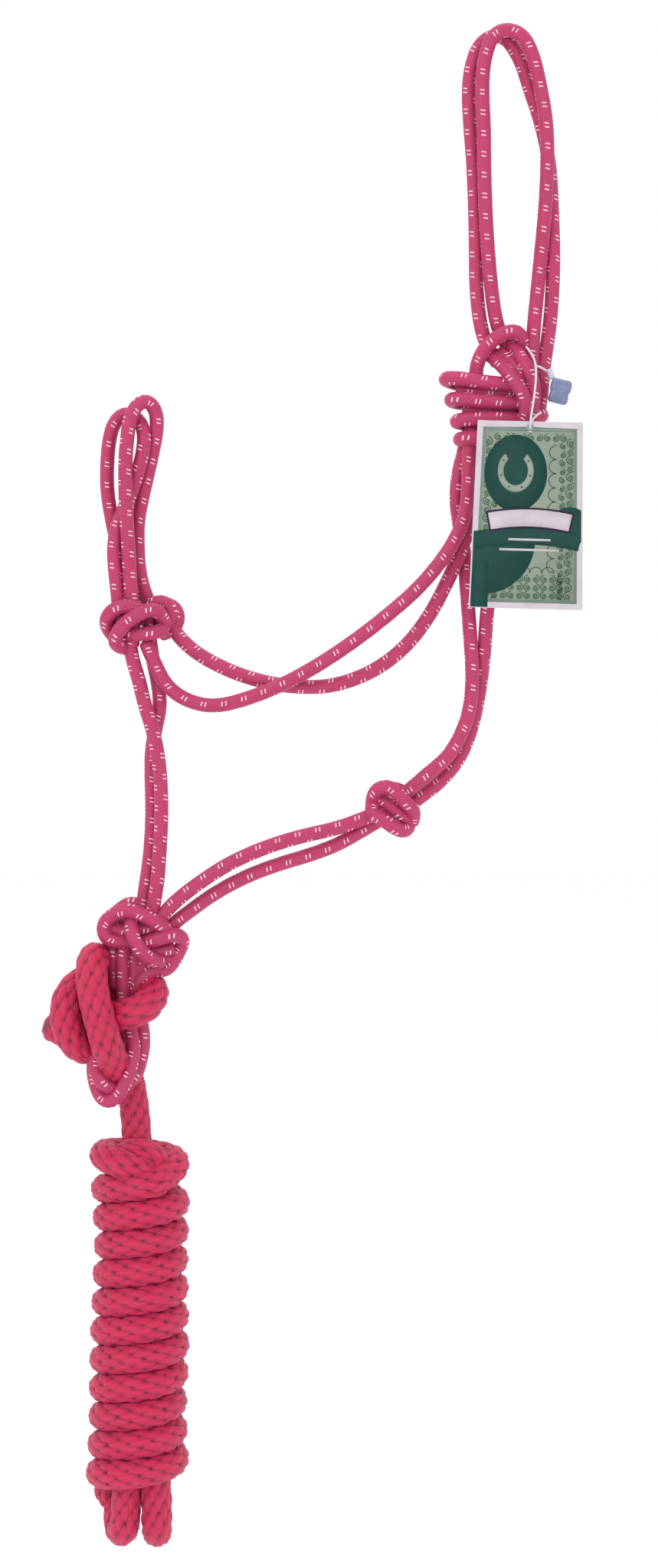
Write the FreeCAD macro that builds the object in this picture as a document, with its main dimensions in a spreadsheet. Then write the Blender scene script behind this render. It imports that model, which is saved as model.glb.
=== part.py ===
import FreeCAD, Part
import Sketcher

import math
import os

# Yearling rope halter hung by its crown, with the lead tied to the chin loop and wound into a hank.
# Origin: the top of the inside of the crown loop, where a peg or hook holds the halter.
# +Z is up, +X runs from the noseband to the crown, and the front of the halter faces -Y.
# All sizes are in millimetres.

doc = FreeCAD.newDocument("rope_halter")

driving_sizes = {
    "rope_diameter": 6.5,
    "lead_diameter": 13.0,
    "lead_line_depth": 14.0,
    "wrap_count": 11,
    "wrap_pitch": 13.1,
    "wrap_ring_radius": 16.5,
    "hank_top_drop": 24.5,
    "fold_drop": 25.0,
    "fold_spacing": 15.5,
    "card_top_width": 47.4,
    "card_bottom_width": 51.4,
    "card_height": 84.5,
    "card_thickness": 0.5,
    "card_hole_diameter": 3.2,
    "card_hole_inset": 3.0,
    "string_diameter": 1.0,
    "seal_width": 9.5,
    "seal_height": 11.0,
    "seal_depth": 6.0,
    "seal_neck_diameter": 2.8,
}

sheet = doc.addObject("Spreadsheet::Sheet", "Sizes")
for row, (alias, value) in enumerate(driving_sizes.items(), start=1):
    sheet.set(f"A{row}", alias)
    sheet.set(f"B{row}", str(value))
    sheet.setAlias(f"B{row}", alias)
doc.recompute()


def size(alias):
    return float(sheet.get(alias))


rope_diameter = size("rope_diameter")
lead_diameter = size("lead_diameter")

# Route points are (x, lay, z): lay is the depth in rope diameters, so that ropes which lie
# one behind another stay a diameter apart when the rope is made thicker.
halter_routes = {
    # Front rope of the crown: up from the tie, over the hanging point and down to the eye.
    "crown_rope_front": [
        (14.5, 0.25, -164.5), (13, 0.2, -154), (12, -0.1, -141.5), (13, -0.15, -127),
        (14.5, -0.1, -112.5), (16, -0.15, -97), (18, -0.4, -76), (19, -0.5, -55),
        (18.5, -0.5, -35.5), (15.2, -0.5, -17.5), (12.2, -0.5, -5), (7.5, -0.5, 4), (-0.5, -0.45, 6.5),
        (-6.5, -0.4, 3), (-10, -0.4, -7), (-11, -0.4, -21), (-10, -0.5, -39),
        (-10, -0.45, -56.5), (-9, -0.35, -84.5), (-7, -0.3, -109), (-5, -0.05, -124),
        (-2, 0.35, -133.5), (3, 0.3, -140.5),
    ],
    # Rear rope of the crown, a diameter behind the front one.
    "crown_rope_rear": [
        (15, -0.1, -168), (16.5, -0.05, -159.5), (17, 0.1, -150.5), (18.5, 0.3, -140.5),
        (20.5, 0.3, -127), (21.5, 0.2, -112.5), (22, 0.25, -97), (21.5, 0.5, -76),
        (20.5, 0.5, -55), (17, 0.5, -36.5), (10.7, 0.5, -18), (7.6, 0.5, -7.8), (3.7, 0.5, -0.6),
        (0, 0.5, 4), (-6, 0.5, 5), (-12, 0.5, 0.5), (-15.5, 0.45, -8.5), (-17, 0.45, -21),
        (-16, 0.45, -37.5), (-14.5, 0.5, -55), (-13.5, 0.4, -84.5), (-13.5, 0.3, -109),
        (-12, 0.2, -126), (-9, 0.3, -137), (-4, 0.3, -145),
    ],
    # The eye that the crown ropes are tied through.
    "tie_eye": [
        (-14.5, 0.15, -162.5), (-13.5, 0, -154.5), (-13.5, -0.15, -148), (-11.5, -0.4, -142),
        (-7.5, -0.7, -137), (-2, -0.85, -133), (4, -0.8, -131.5), (7.2, -0.5, -134),
        (8.5, 0.2, -139), (7.2, 0.9, -145),
    ],
    # The two tails leave the eye and cross down over the tie.
    "tail_strand_lower": [
        (-7, 0.2, -142), (-3, -0.6, -146), (1.5, -1.35, -152.5), (5.5, -1.7, -158),
        (8.5, -1.7, -164), (9, -1.4, -170.5), (7, -1, -175.5),
    ],
    "tail_strand_upper": [
        (-1.5, 0.4, -136), (3, -0.3, -141.5), (7.5, -1, -145.5), (11, -1.35, -151),
        (12.5, -1.3, -157.5), (12, -1.1, -165), (11, -0.9, -171.5),
    ],
    # Cheek ropes: from the tie down to the nose knots, crossing halfway.
    "cheek_rope_near": [
        (-15.5, -0.1, -176.5), (-17, -0.3, -187), (-17, -0.45, -200), (-18, -0.5, -213.5),
        (-21, -0.5, -222.5), (-27.5, -0.5, -234), (-39, -0.5, -248), (-52, -0.5, -259.5),
        (-66.5, -0.5, -271), (-84, -0.5, -283), (-101, -0.5, -292.5), (-117, -0.45, -299),
        (-132.5, -0.3, -303), (-145, -0.15, -300.5), (-154.5, -0.1, -294), (-159.5, -0.1, -285),
        (-164, -0.1, -274.5),
    ],
    "cheek_rope_off": [
        (-10.5, 0.3, -176.5), (-10, 0.3, -189.5), (-12, 0.3, -203.5), (-16, 0.4, -219.5),
        (-21.5, 0.45, -234), (-26.5, 0.5, -245.5), (-34.5, 0.5, -261), (-45.5, 0.5, -275.5),
        (-60, 0.5, -286.5), (-77, 0.5, -293), (-92.5, 0.5, -294), (-108.5, 0.5, -292),
        (-123.5, 0.55, -287.5), (-137, 0.65, -281), (-146, 0.75, -274.5), (-152, 0.9, -267.5),
        (-156, 1.1, -261),
    ],
    # Throat ropes above the throat knot.
    "throat_rope_upper_near": [
        (-16, 0.75, -174.5), (-19, 0.8, -186), (-21.5, 0.8, -196), (-22.5, 0.85, -207),
        (-21, 1.15, -218.5), (-18.5, 1.4, -230.5), (-18, 1.2, -242), (-17, 0.7, -256),
        (-16, 0.2, -272), (-15, -0.1, -287.5), (-16, -0.3, -302.5), (-19.5, -0.4, -314),
        (-26, -0.45, -325.5), (-34.5, -0.45, -332.5), (-42, -0.35, -339), (-49, -0.1, -345),
    ],
    "throat_rope_upper_off": [
        (-6.5, 0.3, -174.5), (-5, 0.3, -189.5), (-4.5, 0.35, -207), (-5, 0.4, -224.5),
        (-6, 0.5, -242), (-8.5, 0.45, -259.5), (-9.5, 0.55, -277), (-11.5, 0.55, -294.5),
        (-15, 0.6, -312), (-20.5, 0.6, -326), (-29, 0.55, -336.5), (-38, 0.5, -343.5),
        (-47, 0.3, -350),
    ],
    # Throat ropes between the throat knot and the fiador knot.
    "throat_rope_lower_near": [
        (-161, -0.1, -404), (-156, -0.1, -397), (-150, -0.15, -391), (-140.5, -0.25, -383.5),
        (-126, -0.3, -374), (-110, -0.3, -367), (-94, -0.3, -362), (-77.5, -0.25, -358.5),
        (-65, -0.15, -354), (-55.5, 0, -350),
    ],
    "throat_rope_lower_off": [
        (-159, 0.4, -409.5), (-152, 0.45, -402), (-144, 0.5, -396), (-133, 0.5, -388),
        (-119, 0.5, -380.5), (-104.5, 0.5, -375), (-89, 0.5, -370.5), (-77, 0.5, -366),
        (-66.5, 0.45, -360), (-56.5, 0.4, -354),
    ],
    # Chin ropes: from the nose knots down to the fiador knot.
    "chin_rope_near": [
        (-172, 0.1, -271), (-171, 0.05, -280), (-167.5, -0.05, -290.5), (-165, -0.15, -301.5),
        (-161.5, -0.35, -312), (-159, -0.45, -322.5), (-157.5, -0.45, -335), (-157, -0.45, -352.5),
        (-158, -0.4, -370), (-159, -0.3, -384), (-161.5, -0.1, -397),
    ],
    "chin_rope_off": [
        (-163, 0.9, -271), (-161.5, 0.85, -281.5), (-159, 0.8, -292), (-158, 0.7, -302.5),
        (-160, 0.6, -312), (-162, 0.55, -322.5), (-162, 0.5, -335), (-161.5, 0.5, -352.5),
        (-162.5, 0.45, -370), (-164.5, 0.45, -384), (-166.5, 0.4, -397),
    ],
    # Noseband: two ropes that stand up over the nose knots.
    "noseband_rope_front": [
        (-169.5, -0.2, -261.5), (-170, -0.55, -253.5), (-171, -0.6, -242), (-172, -0.6, -231.5),
        (-173, -0.6, -217.5), (-173.5, -0.6, -203.5), (-173.5, -0.6, -189.5), (-172.5, -0.6, -179),
        (-171.5, -0.6, -171.5), (-168, -0.5, -164.5), (-163, -0.2, -163), (-159.5, 0.15, -168),
        (-159.5, 0.5, -176), (-161.5, 0.7, -186), (-164, 0.9, -196.5), (-166.5, 1, -207),
        (-168.5, 1, -217.5), (-168.5, 0.9, -228), (-168, 0.8, -238.5), (-166, 0.85, -248.5),
        (-162.5, 1, -257),
    ],
    "noseband_rope_rear": [
        (-177, -0.15, -262), (-178, -0.25, -252.5), (-179, -0.3, -242), (-179, -0.25, -231.5),
        (-178, -0.05, -222), (-175, 0.25, -213.5), (-171.5, 0.35, -205.5), (-168.5, 0.15, -196.5),
        (-166, 0, -188), (-165, 0, -180.5), (-166, 0.25, -174), (-170, 0.45, -169.3),
        (-175, 0.55, -168.3), (-179.2, 0.6, -172.5), (-181.5, 0.7, -180), (-182.5, 0.75, -191.5),
        (-182.5, 0.8, -203.5), (-180.5, 0.9, -216), (-178, 0.95, -227.5), (-174.5, 1, -238.5),
        (-171, 1.1, -250), (-165, 1.3, -259),
    ],
    # Chin loop below the fiador knot, which carries the lead.
    "chin_loop_near": [
        (-175, 0, -416), (-175.5, 0.1, -425), (-175, 0.2, -434.5), (-173, 0.1, -443.5),
        (-171, 0, -451.5), (-169.5, -0.2, -459), (-171, -0.45, -467.5), (-174, -0.55, -475.8),
        (-178.5, -0.4, -482.6), (-184, -0.05, -483), (-187.7, 0.3, -476), (-189, 0.45, -465.5),
        (-187, 0.5, -456.5),
    ],
    "chin_loop_off": [
        (-159, 0.2, -420.5), (-163, 0.1, -424.5), (-168, 0.1, -429.5), (-170, 0.5, -436),
        (-167.5, 0.6, -443), (-166.2, 0.55, -449.5), (-165.6, 0.5, -457), (-166.8, 0.5, -464.5),
        (-169.5, 0.5, -471), (-175.5, 0.35, -474.5), (-182, -0.45, -474), (-186.5, -0.65, -470),
        (-188.5, -0.4, -464), (-186, 0, -456.5),
    ],
}

halter_knots = {
    # Near nose knot: the upper bight, the band across the front, the lower bight.
    "nose_knot_near": [
        [(-164.5, -0.5, -260), (-168.5, -1, -258), (-175, -1.15, -257), (-180, -1, -259.5),
         (-182.5, -0.6, -263.5), (-181.5, 0, -268), (-178.5, 0.5, -271)],
        [(-155.5, 0.1, -265), (-157.5, -0.5, -260), (-161.5, -1.1, -258.5), (-168, -1.35, -261),
         (-174, -1.35, -265.5), (-178, -1.1, -271), (-178, -0.6, -275), (-174.5, 0, -276)],
        [(-171.5, -0.4, -269.5), (-166, -0.75, -270), (-160, -0.75, -269), (-156.5, -0.3, -268),
         (-157, 0.4, -266)],
    ],
    # Off nose knot, behind and to the right of the near one.
    "nose_knot_off": [
        [(-165, 0.7, -264), (-163, 0.5, -257.5), (-158.5, 0.3, -254), (-153.5, 0.35, -256.5),
         (-152.5, 0.65, -263), (-157, 0.95, -268.5)],
        [(-157, 1.2, -255), (-152, 1, -256), (-149.5, 0.95, -261.5), (-151.5, 1.1, -267),
         (-157, 1.4, -269)],
    ],
    # Throat knot: two bands in front and one behind.
    "throat_knot": [
        [(-61, 0.2, -349.5), (-61, -0.3, -344.5), (-58.5, -0.8, -340), (-53.5, -1.1, -339),
         (-49, -1.15, -343), (-45, -1, -347.5), (-41.5, -0.5, -350.5), (-42.5, 0.2, -355)],
        [(-56, 0.2, -345), (-61.5, -0.3, -348), (-61, -0.8, -352), (-56.5, -1, -354),
         (-52, -1, -357.5), (-47, -0.6, -360), (-43.5, 0.1, -357.5), (-45, 0.8, -353)],
        [(-56.5, 0.5, -341), (-51, 0.9, -339.5), (-45.5, 1.1, -342.5), (-43.5, 1.1, -348),
         (-47.5, 1, -353.5), (-54, 0.9, -354)],
    ],
    # Fiador knot: the bight round the top, the strand down the middle, the right bight
    # with its lower lobe, and the short bight behind.
    "fiador_knot": [
        [(-171, -0.2, -410), (-177, -0.45, -410), (-182, -0.5, -409), (-184, -0.6, -404),
         (-181.5, -0.75, -399), (-174, -0.95, -395), (-166.5, -1, -397), (-159.5, -0.9, -401),
         (-154.5, -0.4, -404.5), (-154, 0.3, -409)],
        [(-171, -0.1, -397.5), (-171, -0.9, -402.5), (-169.5, -1.4, -408.5),
         (-166.5, -1.4, -413.5), (-162, -1, -418), (-158, -0.3, -419.5)],
        [(-166.5, -0.4, -411), (-161, -0.65, -409.5), (-154.5, -0.65, -407.5),
         (-150, -0.4, -406.5), (-147, 0.3, -409.5), (-149.5, 0.6, -415), (-152, 0.5, -420),
         (-156, 0.3, -424), (-161.5, 0.3, -423.5)],
        [(-179, 0.3, -398), (-174.5, 0.4, -393.5), (-169, 0.5, -392.5), (-164, 0.5, -396)],
    ],
    # Each tail passes in front of the tie, turns at the left and comes back behind it.
    # The last piece is the turn at the right.
    "tail_wraps": [
        [(8.5, -0.6, -156.5), (0, -0.8, -156), (-10.5, -0.8, -155), (-20, -0.8, -153.5),
         (-25.5, -0.7, -153), (-28, 0, -153), (-25.5, 0.75, -153.5), (-19.5, 0.95, -155),
         (-8, 1, -156)],
        [(10.5, -0.7, -165), (1.5, -0.8, -164.5), (-9, -0.8, -164), (-17.5, -0.8, -163),
         (-23, -0.7, -162.5), (-25.5, 0, -162.5), (-23, 0.75, -163), (-17, 0.95, -163.5),
         (-6, 1, -164)],
        [(10.5, -0.6, -172.5), (1.5, -0.8, -172), (-8, -0.8, -171.5), (-15, -0.8, -172),
         (-20.5, -0.7, -172), (-23, 0, -172.5), (-20.5, 0.75, -172.5), (-14.5, 0.95, -173),
         (-5, 1, -173)],
        [(10.5, -0.6, -182), (0.5, -0.8, -181.5), (-7, -0.85, -181.5), (-14, -0.8, -180.5),
         (-19, -0.7, -180.5), (-21.5, 0, -180.5), (-19, 0.75, -181), (-13, 0.95, -181.5),
         (-4, 1, -182)],
        [(5, 1, -169), (10.5, 0.95, -169.5), (15, 0.65, -169.5), (17, 0, -169.5),
         (15, -0.65, -170.5), (10.5, -0.95, -171.5)],
    ],
}

# Lead rope, with its depth in diameters of the lead.
lead_knot_bands = [
    [(-206.5, 0.35, -449.5), (-201.5, 0.6, -452), (-195.5, 0.8, -452), (-188.5, 0.8, -448)],
    [(-192, 0.55, -453), (-184, 0.25, -446.5), (-178, -0.3, -442.5), (-171, -0.75, -441),
     (-164.5, -0.7, -437), (-161, -0.1, -431.5), (-163, 0.55, -427), (-169, 0.9, -424.5)],
    [(-168, 0.9, -425), (-176, 0.9, -424.5), (-184, 0.75, -425.5), (-191.5, 0.4, -427.5),
     (-197.5, -0.1, -431.5), (-200.5, -0.5, -438.5), (-200.5, -0.55, -446.5),
     (-198, -0.4, -454.5), (-193, 0.1, -460), (-187, 0.7, -459.5)],
    [(-185.5, 0.8, -458.5), (-181.5, 0.9, -448.5), (-179.5, 0.95, -438.5), (-181.5, 0.9, -429.5),
     (-185, 0.7, -421), (-187.5, 0, -416.5), (-188.5, -0.8, -420.5), (-188, -1.1, -429),
     (-186, -1.15, -439), (-183, -1, -450.5), (-180.5, -0.7, -460.5), (-178, 0, -467.5)],
]

nodes = {}
tightest = {}


def place(points, diameter, depth=0.0):
    return [FreeCAD.Vector(x, depth + lay * diameter, z) for x, lay, z in points]


def route_wire(name, points):
    """Straight runs joined by tangent arcs, each arc as large as its two runs allow."""
    edges = []
    start = points[0]
    radii = []
    for before, corner, after in zip(points, points[1:], points[2:]):
        back = before - corner
        onward = after - corner
        turn = math.pi - back.getAngle(onward)
        cut = 0.45 * min(back.Length, onward.Length)
        radius = cut / math.tan(turn / 2)
        back.normalize()
        onward.normalize()
        inward = (back + onward).normalize()
        arc_start = corner + back * cut
        arc_end = corner + onward * cut
        arc_middle = corner + inward * (math.hypot(radius, cut) - radius)
        edges.append(Part.LineSegment(start, arc_start).toShape())
        edges.append(Part.Arc(arc_start, arc_middle, arc_end).toShape())
        radii.append(radius)
        start = arc_end
    edges.append(Part.LineSegment(start, points[-1]).toShape())
    tightest[name] = min(radii) if radii else math.inf
    return Part.Wire(edges)


def rope_tube(name, points, diameter_alias):
    """A rope of round section swept along its route."""
    wire = route_wire(name, points)
    spine = doc.addObject("Part::Feature", f"{name}_route")
    spine.Shape = wire
    section = doc.addObject("Part::Circle", f"{name}_section")
    section.setExpression("Radius", f"Sizes.{diameter_alias} / 2")
    heading = FreeCAD.Rotation(FreeCAD.Vector(0, 0, 1), points[1] - points[0])
    section.Placement = FreeCAD.Placement(points[0], heading)
    tube = doc.addObject("Part::Sweep", name)
    tube.Sections = [section]
    tube.Spine = (spine, [f"Edge{number}" for number in range(1, len(wire.Edges) + 1)])
    tube.Solid = True
    return tube


def group_of(name, pieces):
    """Separate solids of one kind, kept in one node."""
    group = doc.addObject("Part::Compound", name)
    group.Links = pieces
    return group


def fused(name, pieces):
    fusion = doc.addObject("Part::MultiFuse", name)
    fusion.Shapes = pieces
    fusion.Refine = False
    return fusion


def keep(label, piece):
    piece.Label = label
    nodes[label] = piece


def knot_core(name, centre, radius, length):
    """The crowded middle of a knot, where its strands fill the space; sizes in rope diameters."""
    core = doc.addObject("Part::Cylinder", name)
    core.setExpression("Radius", f"Sizes.rope_diameter * {radius}")
    core.setExpression("Height", f"Sizes.rope_diameter * {length}")
    left_end = centre - FreeCAD.Vector(rope_diameter * length / 2, 0, 0)
    across = FreeCAD.Rotation(FreeCAD.Vector(0, 0, 1), FreeCAD.Vector(1, 0, 0))
    core.Placement = FreeCAD.Placement(left_end, across)
    return core


def halter_ropes():
    for label, points in halter_routes.items():
        keep(label, rope_tube(f"{label}_tube", place(points, rope_diameter), "rope_diameter"))


def halter_knot_pieces():
    for label, bands in halter_knots.items():
        tubes = []
        for number, points in enumerate(bands, start=1):
            path = place(points, rope_diameter)
            tubes.append(rope_tube(f"{label}_band_{number}", path, "rope_diameter"))
        if label in knot_cores:
            middle, radius, length = knot_cores[label]
            centre = place([middle], rope_diameter)[0]
            tubes.append(knot_core(f"{label}_core", centre, radius, length))
            keep(label, fused(f"{label}_body", tubes))
        else:
            keep(label, group_of(f"{label}_group", tubes))


# Middle of each knot as (x, lay, z), then the radius and the length of its crowded core,
# which lies across the knot.
knot_cores = {
    "nose_knot_near": ((-169.5, -0.3, -266.0), 0.92, 1.5),
    "nose_knot_off": ((-157.5, 1.0, -262.0), 0.85, 1.0),
    "throat_knot": ((-51.0, 0.0, -349.5), 0.92, 1.5),
    "fiador_knot": ((-167.0, -0.2, -404.0), 1.3, 2.5),
}

# The lead leaves its knot at the upper bend and enters the hank at the lower bend.
# Both bends are free: the fall swings at the upper one and the hank at the lower one.
upper_bend = FreeCAD.Vector(-172.0, size("lead_line_depth"), -474.0)
lower_bend = FreeCAD.Vector(-169.5, size("lead_line_depth"), -497.0)
hank_axis_x = -168.0

# The core strands inside the wraps reach this far into them, so that the hank is one body.
core_overlap = 0.8

# Folds below the wraps: (depth in lead diameters, height above the last wrap in millimetres),
# down the front, round the bottom, which hangs at fold_drop, and up the back.
fold_top_rise = 4.0
fold_neck_drop = 12.0
fold_front_lay = 0.54
fold_bottom_lay = 0.615

# The turn tucked in above the first wrap: (angle round the hank in degrees, rise).
tuck_turn = [
    (150, -2.0), (190, 2.0), (230, 3.5), (270, 3.0), (310, 2.5), (350, 1.0), (390, -3.0),
]
tuck_lift = 0.85


def lead_ropes():
    tubes = []
    for number, points in enumerate(lead_knot_bands, start=1):
        path = place(points, lead_diameter)
        tubes.append(rope_tube(f"lead_knot_band_{number}", path, "lead_diameter"))
    keep("lead_knot", fused("lead_knot_body", tubes))

    fall_points = [
        upper_bend,
        upper_bend + FreeCAD.Vector(0.3, 0, -7.5),
        lower_bend + FreeCAD.Vector(-0.6, 0, 7.5),
        lower_bend,
    ]
    fall = rope_tube("lead_fall_tube", fall_points, "lead_diameter")
    rounded_ends = []
    for name, centre in (("upper", upper_bend), ("lower", lower_bend)):
        end = doc.addObject("Part::Sphere", f"lead_fall_{name}_end")
        end.setExpression("Radius", "Sizes.lead_diameter / 2")
        end.Placement.Base = centre
        rounded_ends.append(end)
    keep("lead_fall", fused("lead_fall_body", [fall] + rounded_ends))


def lead_hank():
    """Wraps round the folded lead, the folds below them and the tucked turn on top."""
    depth = size("lead_line_depth")
    pitch = size("wrap_pitch")
    ring_radius = size("wrap_ring_radius")
    first_wrap = lower_bend.z - size("hank_top_drop")
    last_wrap = first_wrap - pitch * (size("wrap_count") - 1)
    rings = []
    for number in range(int(size("wrap_count"))):
        ring = doc.addObject("Part::Torus", f"hank_wrap_{number + 1}")
        ring.setExpression("Radius1", "Sizes.wrap_ring_radius")
        ring.setExpression("Radius2", "Sizes.lead_diameter / 2 + 0.1")
        ring.Placement.Base = FreeCAD.Vector(hank_axis_x, depth, first_wrap - pitch * number)
        rings.append(ring)
    core = doc.addObject("Part::Cylinder", "hank_core")
    core_radius = f"Sizes.wrap_ring_radius - Sizes.lead_diameter / 2 + {core_overlap}"
    core.setExpression("Radius", core_radius)
    core.setExpression("Height", "Sizes.wrap_pitch * (Sizes.wrap_count - 1)")
    core.Placement.Base = FreeCAD.Vector(hank_axis_x, depth, last_wrap)
    keep("lead_hank_wraps", fused("lead_hank_wraps_body", rings + [core]))

    spacing = size("fold_spacing")
    top = last_wrap + fold_top_rise
    neck = last_wrap - fold_neck_drop
    low = last_wrap - size("fold_drop")
    near = fold_front_lay * lead_diameter
    far = fold_bottom_lay * lead_diameter
    folds = []
    for name, side in (("left", -1), ("right", 1)):
        x = hank_axis_x + side * spacing / 2
        neck_x = x - side / 2
        fold_points = [
            FreeCAD.Vector(x, depth - near, top),
            FreeCAD.Vector(neck_x, depth - near, neck),
            FreeCAD.Vector(x, depth - far, low),
            FreeCAD.Vector(x, depth + far, low),
            FreeCAD.Vector(neck_x, depth + near, neck),
            FreeCAD.Vector(x, depth + near, top),
        ]
        folds.append(rope_tube(f"hank_fold_{name}", fold_points, "lead_diameter"))
    keep("lead_hank_folds", group_of("lead_hank_folds_group", folds))

    turn_points = []
    for angle, rise in tuck_turn:
        swing = math.radians(angle)
        x = hank_axis_x + ring_radius * math.cos(swing)
        y = depth + ring_radius * math.sin(swing)
        turn_points.append(FreeCAD.Vector(x, y, first_wrap + pitch * tuck_lift + rise))
    keep("lead_hank_tuck", rope_tube("lead_hank_tuck_tube", turn_points, "lead_diameter"))


# The tag hangs by its hole from a string that goes up under the eye of the tie.
hole_centre = FreeCAD.Vector(10.0, -18.0, -177.5)
card_turn = 1.5
string_top = FreeCAD.Vector(9.0, -8.0, -139.5)

# The seal: lower left corner and slant of its barrel, foot and slant of its neck.
seal_corner = FreeCAD.Vector(18.2, -11.0, -163.9)
seal_slant = 14
seal_rounding = 1.9
seal_neck_foot = FreeCAD.Vector(19.2, -8.0, -149.6)
seal_neck_slant = 160
seal_neck_length = 4.6


def pin_corner(sketch, line, name, across, up):
    """Hold the first point of a line at a signed place given by two sheet formulas."""
    for direction, formula in (("X", across), ("Y", up)):
        points = (line, 1, -1, 1) if formula.startswith("-") else (-1, 1, line, 1)
        distance = sketch.addConstraint(Sketcher.Constraint(f"Distance{direction}", *points, 1.0))
        sketch.renameConstraint(distance, f"{name}_{direction}")
        sketch.setExpression(f"Constraints.{name}_{direction}", formula.lstrip("-"))


def tag_card():
    card = doc.addObject("PartDesign::Body", "Card")
    sketch = card.newObject("Sketcher::SketchObject", "CardOutline")
    plane = [feature for feature in card.Origin.OriginFeatures if feature.Role == "XZ_Plane"][0]
    sketch.AttachmentSupport = (plane, [""])
    sketch.MapMode = "FlatFace"
    half_top = "Sizes.card_top_width / 2"
    half_bottom = "Sizes.card_bottom_width / 2"
    top = "Sizes.card_hole_inset"
    bottom = "-(Sizes.card_height - Sizes.card_hole_inset)"
    corners = [
        ("top_left", f"-{half_top}", top, (-24, 3)),
        ("top_right", half_top, top, (24, 3)),
        ("bottom_right", half_bottom, bottom, (26, -80)),
        ("bottom_left", f"-{half_bottom}", bottom, (-26, -80)),
    ]
    for here, there in zip(corners, corners[1:] + corners[:1]):
        start = FreeCAD.Vector(*here[3], 0)
        end = FreeCAD.Vector(*there[3], 0)
        sketch.addGeometry(Part.LineSegment(start, end), False)
    for line in range(4):
        sketch.addConstraint(Sketcher.Constraint("Coincident", line, 2, (line + 1) % 4, 1))
    for line, (name, across, up, _) in enumerate(corners):
        pin_corner(sketch, line, name, across, up)
    hole = Part.Circle(FreeCAD.Vector(0, 0, 0), FreeCAD.Vector(0, 0, 1), 1.6)
    circle = sketch.addGeometry(hole, False)
    sketch.addConstraint(Sketcher.Constraint("Coincident", circle, 3, -1, 1))
    sketch.addConstraint(Sketcher.Constraint("Diameter", circle, 3.2))
    sketch.renameConstraint(sketch.ConstraintCount - 1, "hole_diameter")
    sketch.setExpression("Constraints.hole_diameter", "Sizes.card_hole_diameter")
    pad = card.newObject("PartDesign::Pad", "CardSheet")
    pad.Profile = sketch
    pad.setExpression("Length", "Sizes.card_thickness")
    turn = FreeCAD.Rotation(FreeCAD.Vector(0, 1, 0), card_turn)
    card.Placement = FreeCAD.Placement(hole_centre, turn)
    keep("tag_card", card)


def tag_string():
    """The main leg from under the eye to the card, the branch to the seal and the rear leg."""
    half_gap = FreeCAD.Vector(0, 0.9, 0)
    main_leg = [
        string_top,
        FreeCAD.Vector(11.5, -10.5, -143.0),
        FreeCAD.Vector(13.0, -13.5, -148.5),
        FreeCAD.Vector(12.8, -15.8, -155.5),
        FreeCAD.Vector(11.8, -17.4, -164.0),
        FreeCAD.Vector(10.4, -19.2, -172.0),
        hole_centre - half_gap * 2.2 + FreeCAD.Vector(0, 0, 1.2),
        hole_centre - half_gap * 0.8 - FreeCAD.Vector(0, 0, 0.3),
        hole_centre + half_gap * 1.2,
        hole_centre + half_gap * 1.6 + FreeCAD.Vector(0.8, 0, 3.2),
        FreeCAD.Vector(12.3, -15.0, -172.0),
        FreeCAD.Vector(15.0, -12.0, -169.8),
    ]
    branch = [
        FreeCAD.Vector(13.2, -13.6, -148.8),
        FreeCAD.Vector(15.6, -12.4, -149.3),
        FreeCAD.Vector(17.8, -9.6, -150.4),
    ]
    legs = [
        rope_tube("tag_string_loop", main_leg, "string_diameter"),
        rope_tube("tag_string_branch", branch, "string_diameter"),
    ]
    keep("tag_string", group_of("tag_string_group", legs))


def tag_seal():
    """The plastic barrel that locks the string, and the pale neck that the string enters."""
    neck = doc.addObject("Part::Cylinder", "SealNeck")
    neck.setExpression("Radius", "Sizes.seal_neck_diameter / 2")
    neck.Height = seal_neck_length
    lean = FreeCAD.Rotation(FreeCAD.Vector(0, 1, 0), seal_neck_slant)
    neck.Placement = FreeCAD.Placement(seal_neck_foot, lean)
    keep("tag_seal_neck", neck)

    block = doc.addObject("Part::Box", "SealBlock")
    block.setExpression("Length", "Sizes.seal_width")
    block.setExpression("Width", "Sizes.seal_depth")
    block.setExpression("Height", "Sizes.seal_height")
    slant = FreeCAD.Rotation(FreeCAD.Vector(0, 1, 0), seal_slant)
    block.Placement = FreeCAD.Placement(seal_corner, slant)
    doc.recompute()
    rounded = doc.addObject("Part::Fillet", "SealBarrel")
    rounded.Base = block
    edge_count = len(block.Shape.Edges)
    rounded.Edges = [(edge, seal_rounding, seal_rounding) for edge in range(1, edge_count + 1)]
    keep("tag_seal_barrel", rounded)


def checked(label, piece):
    """Stop on a piece that failed to build, or whose solids are not whole."""
    if "Invalid" in piece.State or "Error" in piece.State:
        raise RuntimeError(f"{label} failed to build: {piece.State}")
    shape = piece.Shape
    if shape.isNull() or not shape.isValid() or not shape.Solids:
        raise RuntimeError(f"{label} has no valid solid")
    return shape


def check_tube_volumes():
    """A sound tube holds its section times its length."""
    for tube in doc.findObjects("Part::Sweep"):
        spine = tube.Spine[0]
        radius = tube.Sections[0].Radius.Value
        expected = math.pi * radius**2 * spine.Shape.Length
        if abs(tube.Shape.Volume / expected - 1) > 0.002:
            raise RuntimeError(f"{tube.Label} holds {tube.Shape.Volume:.0f}, not {expected:.0f}")


halter_ropes()
halter_knot_pieces()
lead_ropes()
lead_hank()
tag_card()
tag_string()
tag_seal()
doc.recompute()

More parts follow.
